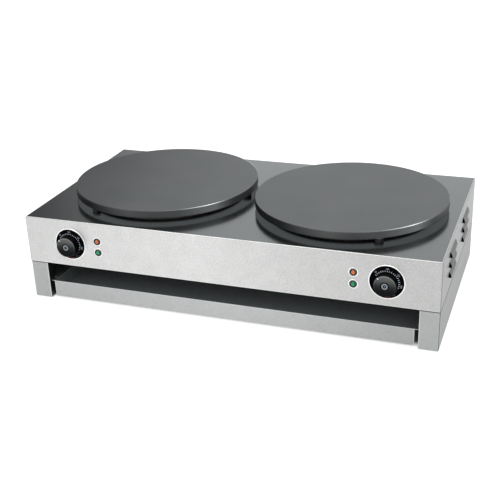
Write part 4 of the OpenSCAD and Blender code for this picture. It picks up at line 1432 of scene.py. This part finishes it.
@dataclass
class Dial(Assembly):
    """One thermostat dial: knob, insert, scale ring, its trim and the printed scale."""

    side: Side
    finishes: DialFinishes
    first_angle: float = -46.0
    number_step: float = 48.5
    ticks_per_number: int = 5
    numbers: tuple[int, ...] = (50, 100, 150, 200, 250, 300)
    # Marks past this angle take near-black ink as painted shadow.
    clear_until: float = 110.0
    tick_radius: float = 0.0224
    tick_width: float = 0.00115
    tick_length: float = 0.0029
    number_radius: float = 0.0282
    number_size: float = 0.0043
    number_boldness: float = 0.00006
    red_angles: Span = (161.0, 184.0)
    red_radii: Span = (0.0290, 0.0303)
    red_steps: int = 8
    mark_height: float = 0.00012
    trim_gap: float = 0.0001
    trim_width: float = 0.0021
    trim_height: float = 0.0011
    knob_face_drop: float = 0.0002
    knob_edge: float = 0.0011
    well_depth: float = 0.0021
    well_width: float = 0.0021
    bore_radius: float = 0.00302
    bore_end: float = 0.0104
    pointer_angle: float = -42.0
    pointer_width: float = 0.0021
    pointer_length: float = 0.0029
    pointer_inset: float = 0.0001
    pointer_heights: Span = (-0.0013, -0.00005)

    def name(self, part: str) -> str:
        """Name of one of this side's parts."""
        return f"{self.side.label}_{part}"

    def disc(self, part: str) -> Disc:
        """Place and size of one of this side's round nodes."""
        return Disc(*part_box(self.name(part)))

    def print_mark(self, part: str, work: bmesh.types.BMesh, finish: bpy.types.Material) -> None:
        """Makes a printed mark of the scale ring from its mesh."""
        fit_piece(new_piece(self.name(part), work), finish, "bezel_plastic", "root")

    def dress(self) -> None:
        """Gives the CAD pieces their finishes."""
        self.paint(self.finishes.knob, self.name("knob"))
        self.paint(self.finishes.ring, self.name("dial_bezel"))
        self.paint(self.finishes.insert, self.name("knob_insert"))

    def trim(self) -> None:
        """Turns the bright ring round the scale ring."""
        ring = self.disc("dial_bezel")
        inner = ring.radius + self.trim_gap
        outer = inner + self.trim_width
        rise, top = self.trim_height * 0.6, self.trim_height
        profile = [
            (inner, -SUNK),
            (outer, -SUNK),
            (outer, rise),
            (outer - self.trim_width * 0.25, top * 0.92),
            (outer - self.trim_width * 0.5, top),
            (inner + self.trim_width * 0.2, top * 0.95),
            (inner, rise),
        ]
        work = bmesh.new()
        turned(work, profile, ring.face(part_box("housing_cover")[0].y), steps=128)
        trim = new_piece(self.name("dial_trim"), work)
        fit_piece(trim, self.finishes.trim, "stainless_cover", "root")

    def ticks(self) -> None:
        """Prints the tick marks, clear up to an angle and in near-black ink past it as painted shadow.
        """
        face = self.disc("dial_bezel").face()
        pitch = self.number_step / self.ticks_per_number
        count = (len(self.numbers) - 1) * self.ticks_per_number
        angles = [self.first_angle + pitch * i for i in range(-1, count + 1)]
        outline = bar(self.tick_width, self.tick_radius, self.tick_radius + self.tick_length)
        for word, finish in (("clear", self.finishes.white), ("faint", self.finishes.faded)):
            work = bmesh.new()
            for angle in angles:
                if (angle < self.clear_until) == (word == "clear"):
                    prism(work, outline, -self.mark_height, self.mark_height, spun(face, angle))
            self.print_mark(f"{word}_ticks", work, finish)

    def numerals(self) -> None:
        """Prints the numbers of the scale."""
        face = self.disc("dial_bezel").face()
        for i, number in enumerate(self.numbers):
            angle = self.first_angle + self.number_step * i
            text = bpy.data.curves.new(f"numeral_{number}", "FONT")
            text.body = str(number)
            text.size = self.number_size
            text.align_x = "CENTER"
            text.align_y = "CENTER"
            text.extrude = self.mark_height
            text.offset = self.number_boldness
            text.resolution_u = 3
            item = bpy.data.objects.new(self.name(f"numeral_{number}"), text)
            bpy.context.scene.collection.objects.link(item)
            outward = Matrix.Translation((0.0, self.number_radius, 0.0))
            item.matrix_world = spun(face, angle) @ outward
            # Numerals past the angle take near-black ink as painted shadow.
            finish = self.finishes.grey if angle < self.clear_until else self.finishes.faded
            fit_piece(item, finish, "bezel_plastic", "root")

    def end_mark(self) -> None:
        """Prints the red mark past the scale's hot end."""
        inner, outer = self.red_radii
        start, end = self.red_angles
        spokes = []
        for i in range(self.red_steps + 1):
            angle = math.radians(start + (end - start) * i / self.red_steps)
            spokes.append((math.sin(angle), math.cos(angle)))
        outline = [(x * inner, y * inner) for x, y in spokes]
        outline += [(x * outer, y * outer) for x, y in reversed(spokes)]
        work = bmesh.new()
        face = self.disc("dial_bezel").face()
        prism(work, outline, -self.mark_height, self.mark_height, face)
        self.print_mark("red_mark", work, self.finishes.red)

    def knob(self) -> None:
        """Turns the knob with its rounded edge, its bore and the well round the insert."""
        node, insert = self.disc("knob"), self.disc("knob_insert")
        back, length, face = node.radius, node.length, self.finishes.face_radius
        cap, floor = insert.radius, insert.front_y + insert.length - node.front_y
        well, drop, edge = cap + self.well_width, self.knob_face_drop, self.knob_edge
        profile = [
            (self.bore_radius, -length),
            (back, -length),
            (back, -length + 0.0006),
            (face + 0.0001, -drop - edge),
            (face - edge * 0.12, -drop - edge * 0.55),
            (face - edge * 0.45, -drop - edge * 0.15),
            (face - edge, -drop),
            (well + 0.0004, -drop),
            (well, -drop - 0.0003),
            (cap + 0.0007, -self.well_depth + 0.0004),
            (cap + 0.0002, -self.well_depth),
            (cap, -floor),
            (0.0, -floor),
            (0.0, -length + self.bore_end),
            (self.bore_radius, -length + self.bore_end),
        ]
        work = bmesh.new()
        turned(work, profile, node.face(), steps=96)
        shape = new_piece(self.name("knob_body"), work)
        body = self.name("dial")
        fit_piece(shape, self.finishes.knob, "knob_plastic", body, self.name("knob"))

    def pointer(self) -> None:
        """Sets the pointer's white inlay into the edge of the knob's face."""
        outer = self.finishes.face_radius - self.pointer_inset
        outline = bar(self.pointer_width, outer - self.pointer_length, outer)
        work = bmesh.new()
        face = spun(self.disc("knob").face(), self.pointer_angle)
        prism(work, outline, *self.pointer_heights, face)
        mark = new_piece(self.name("knob_pointer"), work)
        fit_piece(mark, self.finishes.inlay, "knob_plastic", self.name("dial"))

    def insert(self) -> None:
        """Turns the metal insert with its raised ring, dish and centre pip."""
        node = self.disc("knob_insert")
        radius, length = node.radius, node.length
        profile = [
            (0.0, -length),
            (radius, -length),
            (radius, -0.0005),
            (radius - 0.0004, -0.0001),
            (radius - 0.0009, 0.0),
            (radius * 0.54, 0.0),
            (radius * 0.50, -0.0002),
            (radius * 0.46, -0.0011),
            (radius * 0.24, -0.0012),
            (radius * 0.19, -0.0006),
            (radius * 0.11, -0.0004),
            (0.0, -0.0004),
        ]
        work = bmesh.new()
        turned(work, profile, node.face(), steps=64)
        cap = new_piece(self.name("knob_cap"), work, smooth_angle=50.0)
        body = self.name("dial")
        fit_piece(cap, self.finishes.insert, "insert_metal", body, self.name("knob_insert"))

    def build(self) -> None:
        """Builds and dresses the dial."""
        self.dress()
        self.trim()
        self.ticks()
        self.numerals()
        self.end_mark()
        self.knob()
        self.pointer()
        self.insert()


@dataclass
class Lamps(Assembly):
    """The four indicator lamps: faceted lenses, holders and bright rims."""

    trim_finish: bpy.types.Material
    facets: int = 8
    shoulder: float = 0.0022
    trim_gap: float = 0.00005
    trim_width: float = 0.0016
    trim_height: float = 0.0006
    amber: Colour = (0.43, 0.115, 0.028)
    green: Colour = (0.00, 0.21, 0.080)

    def glass(self, name: str, tint: Colour, node: str) -> bpy.types.Material:
        """Makes the glass of both lenses of one colour, from the right one's place."""
        lens = Disc(*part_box(node))
        return LampGlass(name, tint, lens.centre, lens.radius).material()

    def lens(self, node: str, finish: bpy.types.Material) -> None:
        """Replaces one lens by a faceted one of the same size.

        Args:
            node: The CAD lens.
            finish: Its material.
        """
        disc = Disc(*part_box(node))
        radius, length = disc.radius, disc.length
        profile = [
            (0.0, -length),
            (radius, -length),
            (radius, -self.shoulder),
            (radius * 0.74, -self.shoulder * 0.45),
            (radius * 0.34, -self.shoulder * 0.08),
            (0.0, 0.0),
        ]
        work = bmesh.new()
        turned(work, profile, disc.face(), steps=self.facets)
        lens = new_piece(node + "_facets", work, smooth_angle=5.0)
        slot = "amber_lens" if "amber" in node else "green_lens"
        fit_piece(lens, finish, slot, "root", node)

    def trims(self) -> None:
        """Turns the thin bright rim round each lamp's holder."""
        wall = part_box("housing_cover")[0].y
        work = bmesh.new()
        for corners in solids_of(self.nodes["lamp_holders"]):
            holder = Disc(*corners)
            inner = holder.radius + self.trim_gap
            outer = inner + self.trim_width
            profile = [
                (inner, -SUNK),
                (outer, -SUNK),
                (outer, self.trim_height * 0.6),
                (outer - self.trim_width * 0.3, self.trim_height),
                (inner, self.trim_height),
            ]
            turned(work, profile, holder.face(wall), steps=64)
        fit_piece(new_piece("lamp_trims", work), self.trim_finish, "stainless_cover", "root")

    def build(self) -> None:
        """Builds the four lamps."""
        amber = self.glass("amber_glass", self.amber, "right_amber_lens")
        green = self.glass("green_glass", self.green, "right_green_lens")
        holder = Moulding("lamp_plastic", (0.012, 0.012, 0.013), (0.15, 0.25), coat=0.3)
        self.paint(holder.material(), "lamp_holders")
        for side in Side:
            for colour, glass in (("amber", amber), ("green", green)):
                node = f"{side.label}_{colour}_lens"
                self.paint(glass, node)
                self.lens(node, glass)
        self.trims()


def dial_finishes(taper: float = 0.0015, well: float = 0.0019) -> DialFinishes:
    """Makes both dials' materials from the right dial's place.

    Args:
        taper: How much a knob's back is wider in radius than its face.
        well: Width of the dark well round the insert.

    Returns:
        The materials.
    """
    knob, cap = (Disc(*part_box(node)) for node in ("right_knob", "right_knob_insert"))
    centre, radius, well_radius = knob.centre, knob.radius - taper, cap.radius + well
    ring = Moulding("bezel_plastic", (0.001, 0.001, 0.0013), (0.30, 0.40), gloss=0.012)
    trim = TurnedMetal("trim_steel", (0.92, 0.92, 0.92), (0.25, 0.35), (0.8, 0.8, 0.78))
    return DialFinishes(
        face_radius=radius,
        knob=KnobPlastic("knob_plastic", centre, radius, knob.front_y, well_radius).material(),
        ring=ring.material(),
        insert=InsertMetal("insert_metal", centre, cap.radius).material(),
        trim=trim.material(),
        inlay=Ink("pointer_white", (0.55, 0.60, 0.68)).material(),
        white=Ink("scale_white", (0.40, 0.44, 0.50)).material(),
        grey=Ink("scale_grey", (0.22, 0.25, 0.28)).material(),
        # Near-black ink as painted shadow on the marks past the angle.
        faded=Ink("scale_faded", (0.018, 0.020, 0.023)).material(),
        red=Ink("scale_red", (0.12, 0.012, 0.010)).material(),
    )


def main() -> None:
    """Builds the studio and the machine, piece by piece."""
    logging.basicConfig(level=logging.INFO, format="%(name)s: %(message)s")
    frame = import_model()
    nodes = frame["nodes"]
    Studio().build()
    LOG.info("studio built")
    Casing(nodes).dress()
    LOG.info("casing dressed")
    Griddles(nodes).dress()
    LOG.info("griddles dressed")
    Electrics(nodes).dress()
    LOG.info("electrics dressed")
    screw_steel = TurnedMetal("screw_steel", (0.64, 0.64, 0.62)).material()
    for node, out in (("rear_screws", BACK), ("base_screws", DOWN)):
        dress([nodes[node]], screw_steel)
        PanScrews(nodes, node, out, screw_steel).build()
        LOG.info("%s built", node)
    finishes = dial_finishes()
    for side in Side:
        Dial(nodes, side, finishes).build()
        LOG.info("%s dial built", side.label)
    Lamps(nodes, finishes.trim).build()
    LOG.info("lamps built")
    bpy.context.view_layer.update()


if __name__ == "__main__":
    main()
